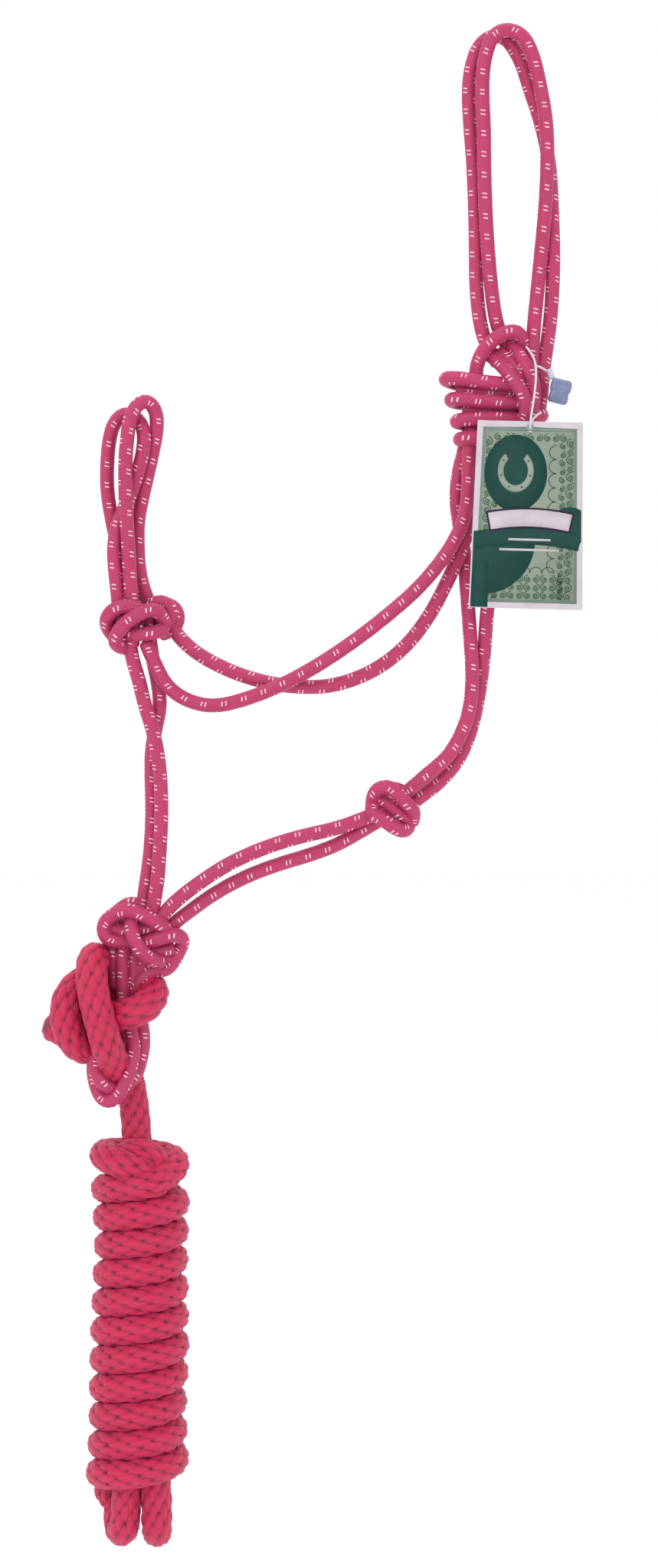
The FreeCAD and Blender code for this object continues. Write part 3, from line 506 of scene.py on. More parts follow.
sheath = ropeMaterial("kernmantleCordWovenPolyester", sheathLook, [
    ("along", "MULTIPLY", "metres", 1000),
    ("rowPlace", "MULTIPLY", "around", sheathLook["rows"]),
    ("row", "ROUND", "rowPlace", 0),
    ("fromRow", "SUBTRACT", "rowPlace", "row"),
    ("across", "MULTIPLY", "fromRow", math.pi * halterRope["diameter"] / mm / sheathLook["rows"]),
    ("odd", "MODULO", "row", 2),
    ("stagger", "MULTIPLY", "odd", 0.5),  # every other row starts half a spacing later
    ("pairs", "DIVIDE", "along", sheathLook["pairSpacing"]),
    ("cell", "ADD", "pairs", "stagger"),
    ("share", "FRACT", "cell", 0),
    ("fromPair", "SUBTRACT", "share", 0.5),
    ("fromPairMm", "MULTIPLY", "fromPair", sheathLook["pairSpacing"]),
    ("lean", "MULTIPLY", "across", sheathLook["dashLean"]),
    ("leaning", "ADD", "fromPairMm", "lean"),
    ("eitherSide", "ABSOLUTE", "leaning", 0),
    ("fromDash", "SUBTRACT", "eitherSide", sheathLook["dashGap"]),
    ("offDash", "ABSOLUTE", "fromDash", 0),
    ("insideDash", "SUBTRACT", sheathLook["dashThickness"] + sheathLook["softEdge"][0], "offDash"),
    ("thinMask", "MULTIPLY", "insideDash", sheathLook["edgeSharpness"][0]),
    ("offRow", "ABSOLUTE", "across", 0),
    ("insideRow", "SUBTRACT", sheathLook["dashWidth"] + sheathLook["softEdge"][1], "offRow"),
    ("shortMask", "MULTIPLY", "insideRow", sheathLook["edgeSharpness"][1]),
    ("markMask", "MULTIPLY", "thinMask", "shortMask"),
    # the weave: two sets of yarns that cross, with painted shade in the gaps between them
    ("yarnAround", "MULTIPLY", "around", sheathLook["yarns"] * math.pi),
    ("yarnAlong", "MULTIPLY", "along", math.tau / sheathLook["yarnRise"]),
    ("leftLay", "ADD", "yarnAround", "yarnAlong"),
    ("rightLay", "SUBTRACT", "yarnAround", "yarnAlong"),
    ("leftWave", "SINE", "leftLay", 0),
    ("rightWave", "SINE", "rightLay", 0),
    ("leftYarn", "ABSOLUTE", "leftWave", 0),
    ("rightYarn", "ABSOLUTE", "rightWave", 0),
    ("weave", "MAXIMUM", "leftYarn", "rightYarn"),
    ("fainter", "MULTIPLY", "patches", sheathLook["patches"][0]),
    ("cloudy", "ADD", "fainter", sheathLook["patches"][1]),
    # painted shade between the yarns, clouded by the patches
    ("paintedShadeAndPatchesMask", "MULTIPLY", "weave", "cloudy"),
    ("yarnRelief", "MULTIPLY", "weave", sheathLook["rises"][0]),
    ("dashRelief", "MULTIPLY", "markMask", sheathLook["rises"][1]),
    ("relief", "ADD", "yarnRelief", "dashRelief"),
    ("gloss", "MULTIPLY", "patches", sheathLook["gloss"][0]),
    ("roughness", "ADD", "gloss", sheathLook["gloss"][1]),
])

# Solid-braid polypropylene rope: thick yarns lie nearly along the rope and dive under each other,
# which leaves rows of plump stitches with a small pit between their ends. Shade in the pits and
# seams and highlight on the stitch tops are painted into the colour.
braidLook = {
    "stops": [(0.1, "#870f38"), (0.45, "#b01342"), (0.85, "#c9164c")],  # painted shade in the seams, the rope's own red on the flanks, painted highlight on the crests
    "mark": "#5c1233",  # painted shade in the pits
    "patchScale": 45,
    "heights": "braid",
    "bump": (0.45, 0.0003),
    "shine": {"IOR": 1.49, "Sheen Weight": 0.25, "Sheen Roughness": 0.35,
              "Sheen Tint": linear("#e79ad2")},
    "pitLength": 1.15,  # mm, half of a pit along the rope
    "pitWidth": 0.5,  # mm, half of a pit across the rope
    "pitLean": 0.12,
    "pitReach": 1.25,  # how far a pit fades out past its half length and width
    "pitSharpness": 1.1,
    "fibreRise": 0.9,  # radians that a filament turns in a mm
    # painted shade and highlight along the fine filaments
    "fibreShade": 0.06,
    "patches": 0.35,  # strength of the cloudy patches
    "gloss": (0.15, 0.42),  # spread of the roughness, and the least of it
    "fibres": 60,  # fine filaments round the rope, drawn coarser than real ones
}
braid = ropeMaterial("solidBraidPolypropyleneRope", braidLook, [
    ("along", "MULTIPLY", "metres", 1000),
    # the pits: one between the ends of the stitches in each column, painted dark as shade
    ("columnPlace", "MULTIPLY", "around", leadRope["columns"]),
    ("column", "ROUND", "columnPlace", 0),
    ("offset", "SUBTRACT", "columnPlace", "column"),
    ("odd", "MODULO", "column", 2),
    ("stagger", "MULTIPLY", "odd", 0.5),
    ("stitches", "DIVIDE", "along", leadRope["stitchSpacing"]),
    ("staggered", "ADD", "stitches", "stagger"),
    ("slant", "MULTIPLY", "offset", leadRope["stitchSlant"]),
    ("reach", "ADD", "staggered", "slant"),
    ("share", "FRACT", "reach", 0),
    ("fromPit", "SUBTRACT", "share", 0.5),
    ("pitAlong", "MULTIPLY", "fromPit", leadRope["stitchSpacing"]),
    ("pitAcross", "MULTIPLY", "offset", leadRope["columnWidth"] / mm),
    ("lean", "MULTIPLY", "pitAlong", braidLook["pitLean"]),
    ("leaning", "ADD", "pitAcross", "lean"),
    ("offAlong", "ABSOLUTE", "pitAlong", 0),
    ("offAcross", "ABSOLUTE", "leaning", 0),
    ("shareAlong", "DIVIDE", "offAlong", braidLook["pitLength"]),
    ("shareAcross", "DIVIDE", "offAcross", braidLook["pitWidth"]),
    ("away", "ADD", "shareAlong", "shareAcross"),
    ("inside", "SUBTRACT", braidLook["pitReach"], "away"),
    ("markMask", "MULTIPLY", "inside", braidLook["pitSharpness"]),
    # fine filaments lie a little aslant on each yarn, painted lighter on their ridges and darker
    # between them as shade
    ("fibreAround", "MULTIPLY", "around", braidLook["fibres"] * math.tau),
    ("fibreAlong", "MULTIPLY", "along", braidLook["fibreRise"]),
    ("fibreLay", "ADD", "fibreAround", "fibreAlong"),
    ("relief", "SINE", "fibreLay", 0),
    ("fibres", "MULTIPLY", "relief", braidLook["fibreShade"]),
    ("cloud", "MULTIPLY", "patches", braidLook["patches"]),
    ("clouded", "ADD", "height", "cloud"),
    ("centred", "SUBTRACT", "clouded", braidLook["patches"] / 2),
    # painted shade and highlight by stitch height and filaments, clouded by the patches
    ("paintedShadeAndPatchesMask", "ADD", "centred", "fibres"),
    ("gloss", "MULTIPLY", "patches", braidLook["gloss"][0]),
    ("roughness", "ADD", "gloss", braidLook["gloss"][1]),
])


def braidHeight(around, along, rope):
    # 0 in the pits between the stitches, 1 on top of a stitch
    column, half = around * rope["columns"], rope["stitchHalf"]
    best = 0.0
    for nearest in (math.floor(column), math.floor(column) + 1):
        offset = column - nearest
        stagger = 0.5 * (nearest % 2)
        reach = along / mm / rope["stitchSpacing"] + stagger + offset * rope["stitchSlant"]
        past = reach - round(reach)
        aside = offset + rope["stitchLean"] * past
        inside = 1 - (past / half[0]) ** 2 - (aside / half[1]) ** 2
        best = max(best, inside)
    return math.sqrt(best)


# Waxed polyester string: two white plies twisted together, with a faint shine and slanting
# shadows between them.
stringLook = {
    "stops": [(0.0, "#a9a9b2"), (0.5, "#dcdce0")],  # painted shadow between the plies, the string's own white on the plies
    "plies": 2,
    "twist": 1.1,  # mm for one turn of the plies
    "bump": (0.5, 0.0002),
    "shine": {"IOR": 1.5, "Sheen Weight": 0.2},
}
stringWhite = ropeMaterial("waxedPolyesterString", stringLook, [
    ("aroundLay", "MULTIPLY", "around", stringLook["plies"] * math.tau),
    ("alongLay", "MULTIPLY", "metres", 1000 * math.tau / stringLook["twist"]),
    ("lay", "ADD", "aroundLay", "alongLay"),
    ("wave", "SINE", "lay", 0),
    ("raised", "ADD", "wave", 1),
    ("relief", "MULTIPLY", "raised", 0.5),
])


grain = {"cloudStops": (0.3, 0.7), "depth": 0.0001, "roughnessSpread": 0.15}


def grainedFinish(name, look):
    # a colour that clouds softly between two shades, over a fine grain
    material, tree = newMaterial(name)
    place = addNode(tree, "ShaderNodeTexCoord", {}).outputs["Object"]
    cloud = addNode(tree, "ShaderNodeTexNoise", {
        "Scale": look["cloud"], "Detail": 5, "Vector": place}).outputs["Fac"]
    speckle = addNode(tree, "ShaderNodeTexNoise", {
        "Scale": look["grain"], "Detail": 3, "Vector": place}).outputs["Fac"]
    colour = addNode(tree, "ShaderNodeValToRGB", {
        "Fac": cloud, "stops": list(zip(grain["cloudStops"], (look["dark"], look["light"]))),
    }).outputs["Color"]
    bump = addNode(tree, "ShaderNodeBump", {
        "Strength": look["bump"], "Distance": grain["depth"], "Height": speckle,
    }).outputs["Normal"]
    rough = addNode(tree, "ShaderNodeMath", {
        "operation": "MULTIPLY_ADD", 0: speckle, 1: grain["roughnessSpread"],
        2: look["roughness"]}).outputs[0]
    finishMaterial(tree, {"Base Color": colour, "Roughness": rough, "Normal": bump,
                          "IOR": look["ior"]})
    return material


def newRopeBuilder():
    meshBuilder = bmesh.new()
    meshBuilder.verts.layers.float.new("braid")
    return meshBuilder


nodeNames = {  # piece: CAD node that it stands for
    piece: "".join("_" + letter.lower() if letter.isupper() else letter for letter in piece)
    for piece in list(halterRoutes) + list(knotBands)
}
# Degrees that each next rope is rolled by, so that their tracers don't line up.
rolls = {"run": 37, "knot": 29, "halterBand": 50, "leadBand": 40}
for number, (piece, points) in enumerate(halterRoutes.items()):
    meshBuilder = newRopeBuilder()
    line = routeLine(placed(points, halterRope["diameter"]), halterRope["step"])
    sweepRope(meshBuilder, line, halterRope, roll=rolls["run"] * number)
    finishPiece(piece, meshBuilder, sheath, "halter", [nodeNames[piece]])
for number, (piece, bands) in enumerate(knotBands.items()):
    meshBuilder = newRopeBuilder()
    for order, points in enumerate(bands):
        line = routeLine(placed(points, halterRope["diameter"]), halterRope["step"])
        sweepRope(meshBuilder, line, halterRope,
                  roll=rolls["knot"] * number + rolls["halterBand"] * order)
    finishPiece(piece, meshBuilder, sheath, "halter", [nodeNames[piece]])
print("halter ropes and knots laid")


# The hitch is pulled tight, so the rope in it is squeezed flat and shows wider.
knottedLead = {**leadRope, "diameter": 13.9 * mm}
meshBuilder = newRopeBuilder()
for order, points in enumerate(leadKnotBands):
    line = routeLine(placed(points, leadRope["diameter"]), leadRope["step"])
    sweepRope(meshBuilder, line, knottedLead, roll=rolls["leadBand"] * order)
finishPiece("leadKnot", meshBuilder, braid, "halter", ["lead_knot"])

# The fall runs from inside the knot to inside the hank; it bends at both ends.
fallRoute = [
    (-182, 9, -447), (-178.5, 12.5, -459), (-174, 14, -469), (-171.8, 14, -479), (-170.3, 14, -489),
    (-169.5, 14, -499), (-169, 14, -512),
]
fallSplit = -485.5 * mm  # the height between the bends at its two joints
fallLine = routeLine([Vector(p) * mm for p in fallRoute], leadRope["step"])
middle = min(range(len(fallLine)), key=lambda i: abs(fallLine[i].z - fallSplit))

meshBuilder = newRopeBuilder()
sweepRope(meshBuilder, fallLine, leadRope, span=(0, middle), blunt=False)
fallUpper = finishPiece("leadFallUpper", meshBuilder, braid, None, ["lead_fall"])
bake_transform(fallUpper)
meshBuilder = newRopeBuilder()
sweepRope(meshBuilder, fallLine, leadRope, span=(middle, len(fallLine) - 1), blunt=False)
fallLower = finishPiece("leadFallLower", meshBuilder, braid, None)
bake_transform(fallLower)

# The hank, in millimetres and degrees.
hankShape = {
    "axisX": -168.0,
    "depth": 14.0,
    "firstWrap": -521.5,
    "pitch": 13.1,
    "startAngle": 90,  # at the back
    "overrun": 0.1,  # of a turn, past the front of the top wrap
    "pointsPerTurn": 14,
}
# Size of each wrap from the top one down, where the rope lies a little tighter or looser.
wrapRadii = (16.8, 16.1, 15.5, 15.7, 16.1, 16.5, 16.8, 16.6, 16.3, 16.8, 17.6)
wrapShifts = (0.35, 0.5, 0.75, 0.35, 0.2, 0.0, -0.1, -0.6, -0.9, -0.8, -1.0)

# The folded strands inside the wraps: three bights hang out below.
foldRoute = [
    (-169, 14, -508), (-169.7, 12, -520), (-171, 9.5, -535), (-171.6, 9, -570), (-171.2, 9, -605),
    (-172, 8.4, -640), (-173.2, 7.2, -655), (-173.8, 6.2, -668), (-174.3, 7, -680),
    (-177, 14, -684), (-178.6, 21, -679.5), (-178.2, 22, -667), (-175.5, 20.5, -652),
    (-173.4, 18.5, -637), (-173, 18, -602), (-172.4, 18.4, -567), (-175.5, 12.5, -522),
    (-175.8, 10, -509.5), (-170, 5, -507), (-163, 5, -508), (-158.2, 6.8, -514.5),
    (-160.5, 9, -526), (-164, 9.6, -570), (-163.7, 9.2, -605), (-162.8, 8.6, -640),
    (-161, 7.4, -655), (-160.2, 6.2, -668), (-160, 7, -680), (-160, 14, -684.5), (-160.2, 21, -680),
    (-160.4, 22, -667), (-162, 20.5, -652), (-163.3, 18.4, -637), (-163.8, 17.8, -602),
    (-164.2, 17, -567), (-164.8, 17, -522), (-168.5, 19.5, -507.5), (-172, 20.3, -522),
    (-171.8, 20.5, -580), (-172.5, 20.5, -615), (-176, 20.5, -642), (-181, 20.5, -655),
    (-183.4, 20.5, -664), (-182.2, 24.5, -669.5), (-177.8, 28.6, -668.5), (-173, 30.2, -663),
]

# Above the wraps the rope turns once over the top, and its end is tucked under itself.
tuckRoute = [
    (-159.5, 0.3, -519.2), (-153.4, 5.5, -516.2), (-151.2, 13.5, -513.2), (-153.8, 21, -511.8),
    (-160.5, 26.6, -510.8), (-169.5, 28.2, -510.2), (-178, 24.6, -509.4), (-183.4, 17.5, -508.8),
    (-184.6, 9.6, -508.8), (-182, 2.4, -509.4), (-176, -2, -511.6), (-168.8, -1.2, -514.6),
    (-163.6, 3, -516.6), (-161.4, 9, -517.2),
]


def betweenWraps(values, place):
    low = int(place)
    share = place - low
    return values[low] * (1 - share) + values[min(low + 1, len(values) - 1)] * share


def wrapRoute(hank):
    # up the hank from its back; the front of each wrap rises to the right
    points = []
    last = len(wrapRadii) - 1
    count = round((last + 0.5 + hank["overrun"]) * hank["pointsPerTurn"])
    for number in range(count + 1):
        turned = number / hank["pointsPerTurn"]
        angle = math.radians(hank["startAngle"] + 360 * turned)
        below = last + 0.5 - turned  # wraps from the top one down to here
        nearest = min(max(below, 0), last)
        radius = betweenWraps(wrapRadii, nearest)
        middleX = hank["axisX"] + betweenWraps(wrapShifts, nearest)
        points.append((middleX + radius * math.cos(angle),
                       hank["depth"] + radius * math.sin(angle),
                       hank["firstWrap"] - hank["pitch"] * below))
    return points


hankRoute = [Vector(p) * mm for p in foldRoute + wrapRoute(hankShape) + tuckRoute]
hankLine = routeLine(hankRoute, leadRope["step"])
meshBuilder = newRopeBuilder()
sweepRope(meshBuilder, hankLine, leadRope)
leadHank = finishPiece("leadHank", meshBuilder, braid, "lead_hank",
                       ["lead_hank_wraps", "lead_hank_folds", "lead_hank_tuck"])
print(f"lead wound: {lineLength(hankLine):.2f} m in the hank")


tagString = {"diameter": 1.0 * mm, "segments": 10, "step": 0.4 * mm}
holeCentre = Vector((10.0, -18.0, -177.5)) * mm
stringRoutes = {
    "tagStringLoop": [
        (9, -8, -139.5), (11.5, -10.5, -143), (13, -13.5, -148.5), (12.8, -15.8, -155.5),
        (11.8, -17.4, -164), (10.4, -19.2, -172), (10, -19.98, -176.3), (10, -18.72, -177.8),
        (10, -16.92, -177.5), (10.8, -16.56, -174.3), (12.3, -15, -172), (15, -12, -169.8),
    ],
    "tagStringBranch": [(13.2, -13.6, -148.8), (15.6, -12.4, -149.3), (17.8, -9.6, -150.4)],
}
stringPieces, stringLines = [], []
for piece, points in stringRoutes.items():
    meshBuilder = newRopeBuilder()
    stringLines.append(routeLine([Vector(p) * mm for p in points], tagString["step"]))
    sweepRope(meshBuilder, stringLines[-1], tagString)
    stands = ["tag_string"] if piece == "tagStringLoop" else ()
    stringPieces.append(
        finishPiece(piece, meshBuilder, stringWhite, "tag_string", stands))

# The seal, in millimetres: a rounded block that locks the string, with a parting groove and a
# sunk panel.
seal = {
    "size": (9.5, 6.0, 11.0),
    "corner": (18.2, -11.0, -163.9),
    "slant": 14,
    "rounding": 1.9,
    "sharp": 1.0,  # radians; only edges sharper than this are rounded
    "grooveRings": ((0.6, 1.0), (0.25, 0.93), (-0.25, 0.93), (-0.6, 1.0)),  # height, share
    "panelArea": 8,  # square mm; a front face that is larger gets a sunk panel
    "panelInset": 0.5,
    "panelDepth": 0.35,
    "neckFoot": (19.2, -8.0, -149.6),
    "neckSlant": 160,
    "neckProfile": [(0.0, 0.0), (1.7, 0.0), (1.75, 0.25), (1.7, 0.8), (1.4, 1.1), (1.4, 4.1),
                    (1.2, 4.6), (0.0, 4.6)],
}
# Injection-moulded nylon: an even, faintly cloudy colour with a satin shine and a very fine grain.
nylonLook = {"cloud": 180, "grain": 2500, "bump": 0.15, "roughness": 0.3, "ior": 1.52}
sealBlue = grainedFinish("mouldedSatinNylonBlue", {
    **nylonLook, "light": "#8087ab", "dark": "#636b8f"})
neckWhite = grainedFinish("mouldedSatinNylonWhite", {
    **nylonLook, "light": "#ccd0dd", "dark": "#b4b9ca"})
meshBuilder = bmesh.new()
width, deep, tall = (value * mm for value in seal["size"])
made = bmesh.ops.create_cube(meshBuilder, size=1.0)
bmesh.ops.scale(meshBuilder, vec=(width, deep, tall), verts=made["verts"])
for height, pull in seal["grooveRings"]:
    bmesh.ops.bisect_plane(meshBuilder, geom=meshBuilder.verts[:] + meshBuilder.edges[:]
                           + meshBuilder.faces[:], dist=1e-7, plane_co=(0, 0, height * mm),
                           plane_no=(0, 0, 1))
    loop = [v for v in meshBuilder.verts if abs(v.co.z - height * mm) < 1e-6]
    bmesh.ops.scale(meshBuilder, vec=(pull, pull, 1), verts=loop)
grooveHalf = seal["grooveRings"][1][0] * mm
corners = [e for e in meshBuilder.edges if e.calc_face_angle(0) > seal["sharp"]
           and abs(abs(e.verts[0].co.z) - grooveHalf) > 1e-6]
bmesh.ops.bevel(meshBuilder, geom=corners, offset=seal["rounding"] * mm, segments=5,
                profile=0.5, affect="EDGES", material=-1, clamp_overlap=True)
panels = [f for f in meshBuilder.faces
          if f.normal.y < -0.99 and f.calc_area() > seal["panelArea"] * mm * mm]
bmesh.ops.inset_individual(meshBuilder, faces=panels, thickness=seal["panelInset"] * mm,
                           depth=-seal["panelDepth"] * mm)
slant = Matrix.Rotation(math.radians(seal["slant"]), 4, "Y")
toPlace = Matrix.Translation(Vector(seal["corner"]) * mm) @ slant
toPlace = toPlace @ Matrix.Translation((width / 2, deep / 2, tall / 2))
bmesh.ops.transform(meshBuilder, matrix=toPlace, verts=meshBuilder.verts)
finishPiece("tagSealBarrel", meshBuilder, sealBlue, "tag_string",
            ["tag_seal_barrel"])

meshBuilder = bmesh.new()
profile = [meshBuilder.verts.new((r * mm, 0, z * mm)) for r, z in seal["neckProfile"]]
for a, b in zip(profile, profile[1:]):
    meshBuilder.edges.new((a, b))
bmesh.ops.spin(meshBuilder, geom=meshBuilder.verts[:] + meshBuilder.edges[:], cent=(0, 0, 0),
               axis=(0, 0, 1), angle=math.tau, steps=32, use_merge=True)
bmesh.ops.remove_doubles(meshBuilder, verts=meshBuilder.verts, dist=1e-6)
toPlace = Matrix.Translation(Vector(seal["neckFoot"]) * mm)
toPlace = toPlace @ Matrix.Rotation(math.radians(seal["neckSlant"]), 4, "Y")
bmesh.ops.transform(meshBuilder, matrix=toPlace, verts=meshBuilder.verts)
finishPiece("tagSealNeck", meshBuilder, neckWhite, "tag_string",
            ["tag_seal_neck"])

# The printed card, in millimetres from its hole. Its front faces the viewer, and the print lies on
# it as thin layers of ink.
card = {
    "turn": 1.5,
    "topHalf": 23.7,
    "bottomHalf": 25.7,
    "top": 3.0,
    "bottom": -81.5,
    "sideSlope": 0.022,  # how fast the sides run apart
    "hole": 1.6,
    "inkThickness": 0.02,
    "inkGap": 0.15,  # between the print and the hole
}
# Uncoated board and the offset inks on it: matt, with soft mottling and faint fibres.
boardLook = {"cloud": 90, "grain": 2200, "bump": 0.1, "roughness": 0.5, "ior": 1.3}
inkShades = {
    "uncoatedWhiteBoard": ("#cbc1c8", "#beb4bb"),
    "printedPaleGreenInk": ("#8f9b8d", "#869284"),
    "printedDarkGreenInk": ("#194740", "#164039"),
    "printedScrollGreenInk": ("#406149", "#3a5843"),
    "printedGreyGreenInk": ("#7e8f84", "#74857a"),
    "printedDarkPurpleInk": ("#35253f", "#2d2036"),
}
inks = {name: grainedFinish(name, {**boardLook, "light": light, "dark": dark})
        for name, (light, dark) in inkShades.items()}
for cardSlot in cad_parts["tag_card"].material_slots:
    cardSlot.material = inks["uncoatedWhiteBoard"]
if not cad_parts["tag_card"].material_slots:
    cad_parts["tag_card"].data.materials.append(inks["uncoatedWhiteBoard"])

toCard = Matrix.Translation(holeCentre) @ Matrix.Rotation(math.radians(card["turn"]), 4, "Y")


def cardEdge(height, inset):
    # half width of the card at a height below or above the hole, less an inset
    share = (card["top"] - height) / (card["top"] - card["bottom"])
    return card["topHalf"] * (1 - share) + card["bottomHalf"] * share - inset


def panel(meshBuilder, inset, top, bottom):
    # a printed field, left open round the hole for the string
    corners = [(-cardEdge(top, inset), top), (cardEdge(top, inset), top),
               (cardEdge(bottom, inset), bottom), (-cardEdge(bottom, inset), bottom)]
    outline = [meshBuilder.verts.new((x, 0, z)) for x, z in corners]
    edges = [meshBuilder.edges.new((a, b)) for a, b in zip(outline, outline[1:] + outline[:1])]
    place = Matrix.Rotation(math.radians(90), 4, "X")
    ring = bmesh.ops.create_circle(meshBuilder, segments=32, radius=card["hole"] + card["inkGap"],
                                   matrix=place)["verts"]
    edges += {edge for vert in ring for edge in vert.link_edges}
    bmesh.ops.triangle_fill(meshBuilder, use_beauty=True, use_dissolve=False, edges=edges,
                            normal=(0, 1, 0))


def disc(meshBuilder, x, z, radius, tall=1):
    place = Matrix.Translation((x, 0, z)) @ Matrix.Rotation(math.radians(90), 4, "X")
    bmesh.ops.create_circle(meshBuilder, cap_ends=True, segments=64, radius=radius,
                            matrix=place @ Matrix.Diagonal((1, tall, 1, 1)))


def polygon(meshBuilder, corners, lift=0):
    bmesh.ops.contextual_create(
        meshBuilder, geom=[meshBuilder.verts.new((x, -lift, z)) for x, z in corners])


def trimToField(meshBuilder, inset, top, bottom):
    side, slope = cardEdge(0, inset), card["sideSlope"]
    for x, z, nx, nz in ((0, top, 0, 1), (0, bottom, 0, -1), (side, 0, 1, slope),
                         (-side, 0, -1, slope)):
        bmesh.ops.bisect_plane(
            meshBuilder, geom=meshBuilder.verts[:] + meshBuilder.edges[:] + meshBuilder.faces[:],
            dist=1e-4, plane_co=(x, 0, z), plane_no=(nx, 0, nz), clear_outer=True)


def lineArc(meshBuilder, start, centre, turn, width, steps):
    # a printed line: a short edge swung about a centre; gives the middle of the edge it ends on
    away = (start - centre).normalized() * width / 2
    edge = meshBuilder.edges.new([meshBuilder.verts.new(start + away * side) for side in (-1, 1)])
    swung = bmesh.ops.spin(meshBuilder, geom=[edge], cent=centre, axis=(0, 1, 0),
                           angle=math.radians(turn), steps=steps)["geom_last"]
    ends = [g.co for g in swung if isinstance(g, bmesh.types.BMVert)]
    return (ends[0] + ends[1]) / 2


scrollShape = {"halfTurns": 4, "shrink": 0.66, "line": 0.45, "steps": 8}


def scroll(meshBuilder, x, z, size, hand):
    # a scroll that winds inwards, as half turns that shrink
    tip, radius, towards = Vector((x, 0, z)), size, Vector((0, 0, -1))
    for _ in range(scrollShape["halfTurns"]):
        tip = lineArc(meshBuilder, tip, tip + towards * radius, 180 * hand, scrollShape["line"],
                      scrollShape["steps"])
        towards = -towards
        radius *= scrollShape["shrink"]


def band(meshBuilder, x, z, radius, spread, height):
    # an arched ribbon: an upright edge swung about a far centre below it
    foot = meshBuilder.verts.new((x, 0, z - height / 2))
    head = meshBuilder.verts.new((x, 0, z + height / 2))
    start = [foot, head, meshBuilder.edges.new((foot, head))]
    centre = (x, 0, z - radius)
    bmesh.ops.rotate(meshBuilder, cent=centre, verts=start[:2],
                     matrix=Matrix.Rotation(math.radians(-spread / 2), 3, "Y"))
    bmesh.ops.spin(meshBuilder, geom=start, cent=centre, axis=(0, 1, 0),
                   angle=math.radians(spread), steps=24)


def horseshoe(meshBuilder, shape):
    centre = Vector((shape["x"], 0, shape["z"]))
    heel = Vector((0, 0, shape["radius"]))
    heel.rotate(Matrix.Rotation(math.radians(shape["opening"] / 2), 3, "Y"))
    lineArc(meshBuilder, centre + heel, centre, 360 - shape["opening"], shape["width"], 40)
    bmesh.ops.scale(meshBuilder, vec=(1, 1, shape["tall"]), verts=meshBuilder.verts,
                    space=Matrix.Translation(-centre))


def printInk(name, ink, layer, shapes, trim=None):
    # shapes are drawn in (x, z) millimetres and lifted on to the card's front in thin layers
    meshBuilder = bmesh.new()
    for draw, *taken in shapes:
        draw(meshBuilder, *taken)
    if trim:
        trimToField(meshBuilder, *trim)
    bmesh.ops.scale(meshBuilder, vec=(mm, mm, mm), verts=meshBuilder.verts)
    lift = cardFront + card["inkThickness"] * layer * mm
    bmesh.ops.translate(meshBuilder, vec=(0, -lift, 0), verts=meshBuilder.verts)
    extruded = bmesh.ops.extrude_face_region(meshBuilder, geom=meshBuilder.faces[:])
    raised = [g for g in extruded["geom"] if isinstance(g, bmesh.types.BMVert)]
    bmesh.ops.translate(meshBuilder, vec=(0, -card["inkThickness"] * mm, 0), verts=raised)
    bmesh.ops.transform(meshBuilder, matrix=toCard, verts=meshBuilder.verts)
    finishPiece(name, meshBuilder, inks[ink], "tag_card")


cardFront = holeCentre.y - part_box("tag_card")[0].y  # from the middle of the card to its front
bleed, foot = 0.6, -81.2  # how near the print comes to the card's edge, and its lowest line
field = {"inset": 3.9, "top": -1.4, "bottom": -77.4}
scrolls = []
for number in range(19):
    hand = 1 if number % 2 else -1
    height = -4.5 - 3.85 * number
    for x, drop, size in ((18.6, 0, 1.75), (15.1, 1.9, 1.35)):
        scrolls += [(scroll, edge * x, height - drop, size, hand * edge) for edge in (-1, 1)]
for number in range(9):
    hand = 1 if number % 2 else -1
    scrolls += [(scroll, -14.2 + 3.7 * number, height, 1.55, hand)
                for height in (-2.6, -66.4, -70.1, -73.8)]
# scallops part the scrolls from the plain middle of the field
scallop = {"line": 0.45, "steps": 10}
for number in range(9):
    top = -7.5 - 6.4 * number
    scrolls.append((lineArc, Vector((12.2, 0, top)), Vector((12.2, 0, top - 3.2)), -180,
                    *scallop.values()))
for number in range(5):
    left = -14.6 + 5.4 * number
    scrolls.append((lineArc, Vector((left, 0, -65.4)), Vector((left + 2.7, 0, -65.4)), 180,
                    *scallop.values()))

shoe = {"x": -6.0, "z": -19.5, "radius": 6.8, "width": 2.6, "opening": 74, "tall": 1.18}
nails = []
for degrees in range(55, 306, 50):
    swing = math.radians(degrees)
    nails.append((disc, shoe["x"] + shoe["radius"] * math.sin(swing),
                  shoe["z"] + shoe["tall"] * shoe["radius"] * math.cos(swing), 0.42))
lowerCorner = [(-24.9, -60.0), (-17.2, -60.0), (-17.2, foot), (-24.9, foot)]
rules = [(polygon, [(1 - half, height + 0.5), (1 + half, height + 0.5),
                    (1 + half, height - 0.5), (1 - half, height - 0.5)])
         for height, half in ((-50.4, 9.5), (-55.0, 13.5))]

printInk("tagFrameInk", "printedGreyGreenInk", 0, [(panel, 2.6, 0.1, -78.9)])
printInk("tagFieldInk", "printedPaleGreenInk", 1, [(panel, *field.values())])
printInk("tagScrollInk", "printedScrollGreenInk", 2, scrolls,
         trim=(field["inset"] + 0.2, field["top"] - 0.2, field["bottom"] + 0.2))
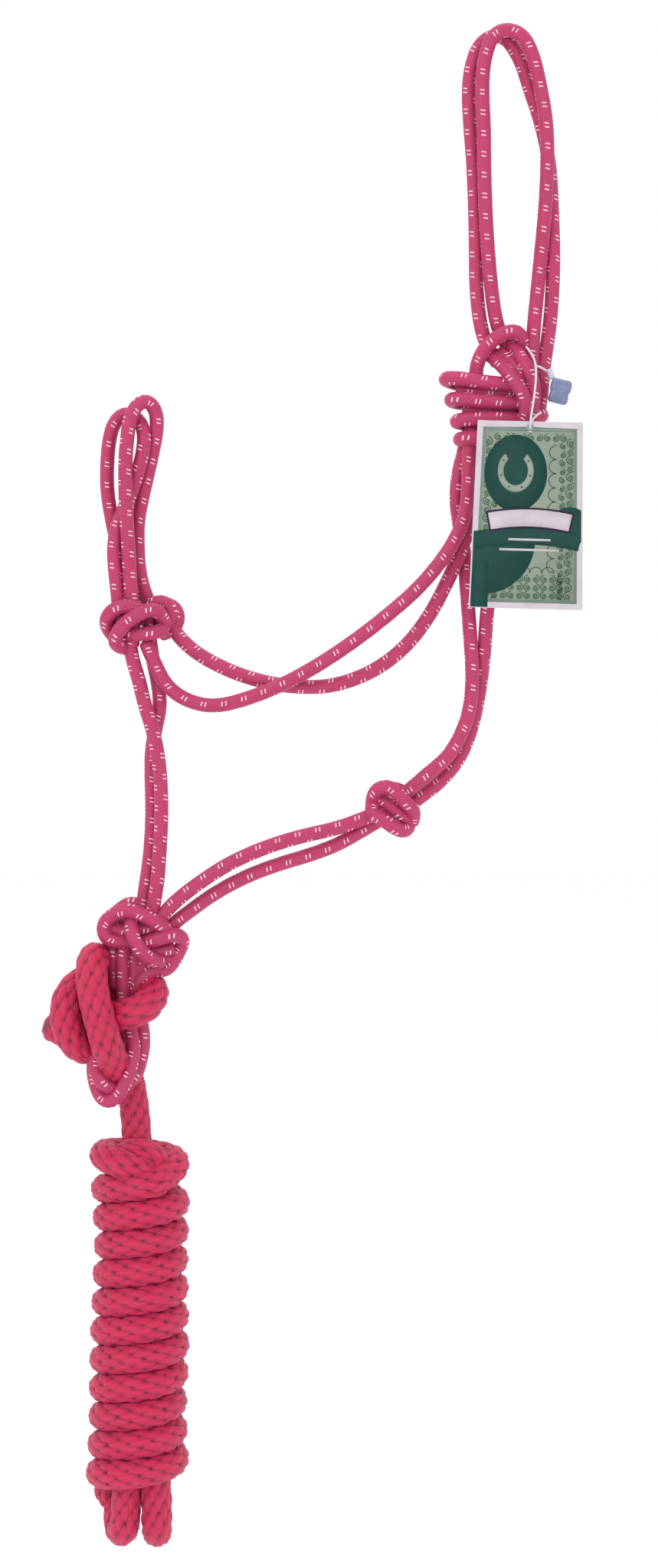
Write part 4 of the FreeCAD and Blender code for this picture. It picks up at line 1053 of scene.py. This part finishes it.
# a plain oval with a horseshoe, dark ground below it, an empty ribbon and two plain rules
printInk("tagMedallionInk", "printedDarkGreenInk", 3, [(disc, -6.0, -20.5, 14.2, 1.22)],
         trim=(bleed, -1.2, foot))
printInk("tagGroundInk", "printedDarkGreenInk", 4,
         [(disc, -20.5, -51.5, 24.0), (polygon, lowerCorner, 0.01)], trim=(bleed, -47.0, foot))
printInk("tagSideGroundInk", "printedDarkGreenInk", 3, [(disc, 19.0, -44.0, 8.8)],
         trim=(bleed, -33.0, foot))
printInk("tagGroundBandInk", "printedDarkGreenInk", 5, [(band, 0.0, -48.6, 110, 25, 8.0)],
         trim=(bleed, -33.0, foot))
printInk("tagHorseshoeInk", "printedPaleGreenInk", 4, [(horseshoe, shoe)])
printInk("tagNailInk", "printedDarkGreenInk", 5, nails)
printInk("tagRibbonEdgeInk", "printedDarkPurpleInk", 6, [(band, 1.0, -40.6, 90, 24.5, 9.4)])
printInk("tagRibbonInk", "uncoatedWhiteBoard", 7, [(band, 1.0, -40.6, 90, 23.4, 7.6)])
printInk("tagRuleInk", "uncoatedWhiteBoard", 6, rules)
print("tag printed")


# A floor of matt white paper, pale and without shine, under even white light.
studio = {
    "floor": -0.80,
    "halfWidth": 14.0,
    "paper": "#ffffff",
    "air": "#ffffff",
    "airStrength": 1.0,
}
paperMaterial, tree = newMaterial("mattPaperFloor")
finishMaterial(tree, {"Base Color": linear(studio["paper"]), "Roughness": 0.95,
                      "Specular IOR Level": 0.1})
meshBuilder = bmesh.new()
bmesh.ops.create_grid(meshBuilder, x_segments=4, y_segments=4, size=studio["halfWidth"],
                      matrix=Matrix.Translation((0, 0, studio["floor"])))
meshObject("floor", meshBuilder, paperMaterial)

lamps = {  # place, aim, size in metres and power in watts
    "keyLight": ((-1.1, -1.5, 0.75), (-0.08, 0, -0.3), 1.0, 9),
    "fillLight": ((1.3, -1.4, 0.2), (-0.08, 0, -0.36), 1.2, 3),
    "topLight": ((-0.1, 0.1, 1.1), (-0.1, 0, -0.3), 1.0, 4),
}
for name, (place, aim, across, power) in lamps.items():
    lampData = bpy.data.lights.new(name, "AREA")
    lampData.size = across
    lampData.energy = power
    lamp = bpy.data.objects.new(name, lampData)
    lamp.location = place
    lamp.rotation_euler = (Vector(aim) - Vector(place)).to_track_quat("-Z", "Y").to_euler()
    scene.collection.objects.link(lamp)
world = bpy.data.worlds.new("studioAir")
world.use_nodes = True
world.node_tree.nodes["Background"].inputs["Color"].default_value = linear(studio["air"])
world.node_tree.nodes["Background"].inputs["Strength"].default_value = studio["airStrength"]
scene.world = world
scene.view_settings.view_transform = "Standard"

print("scene ready")
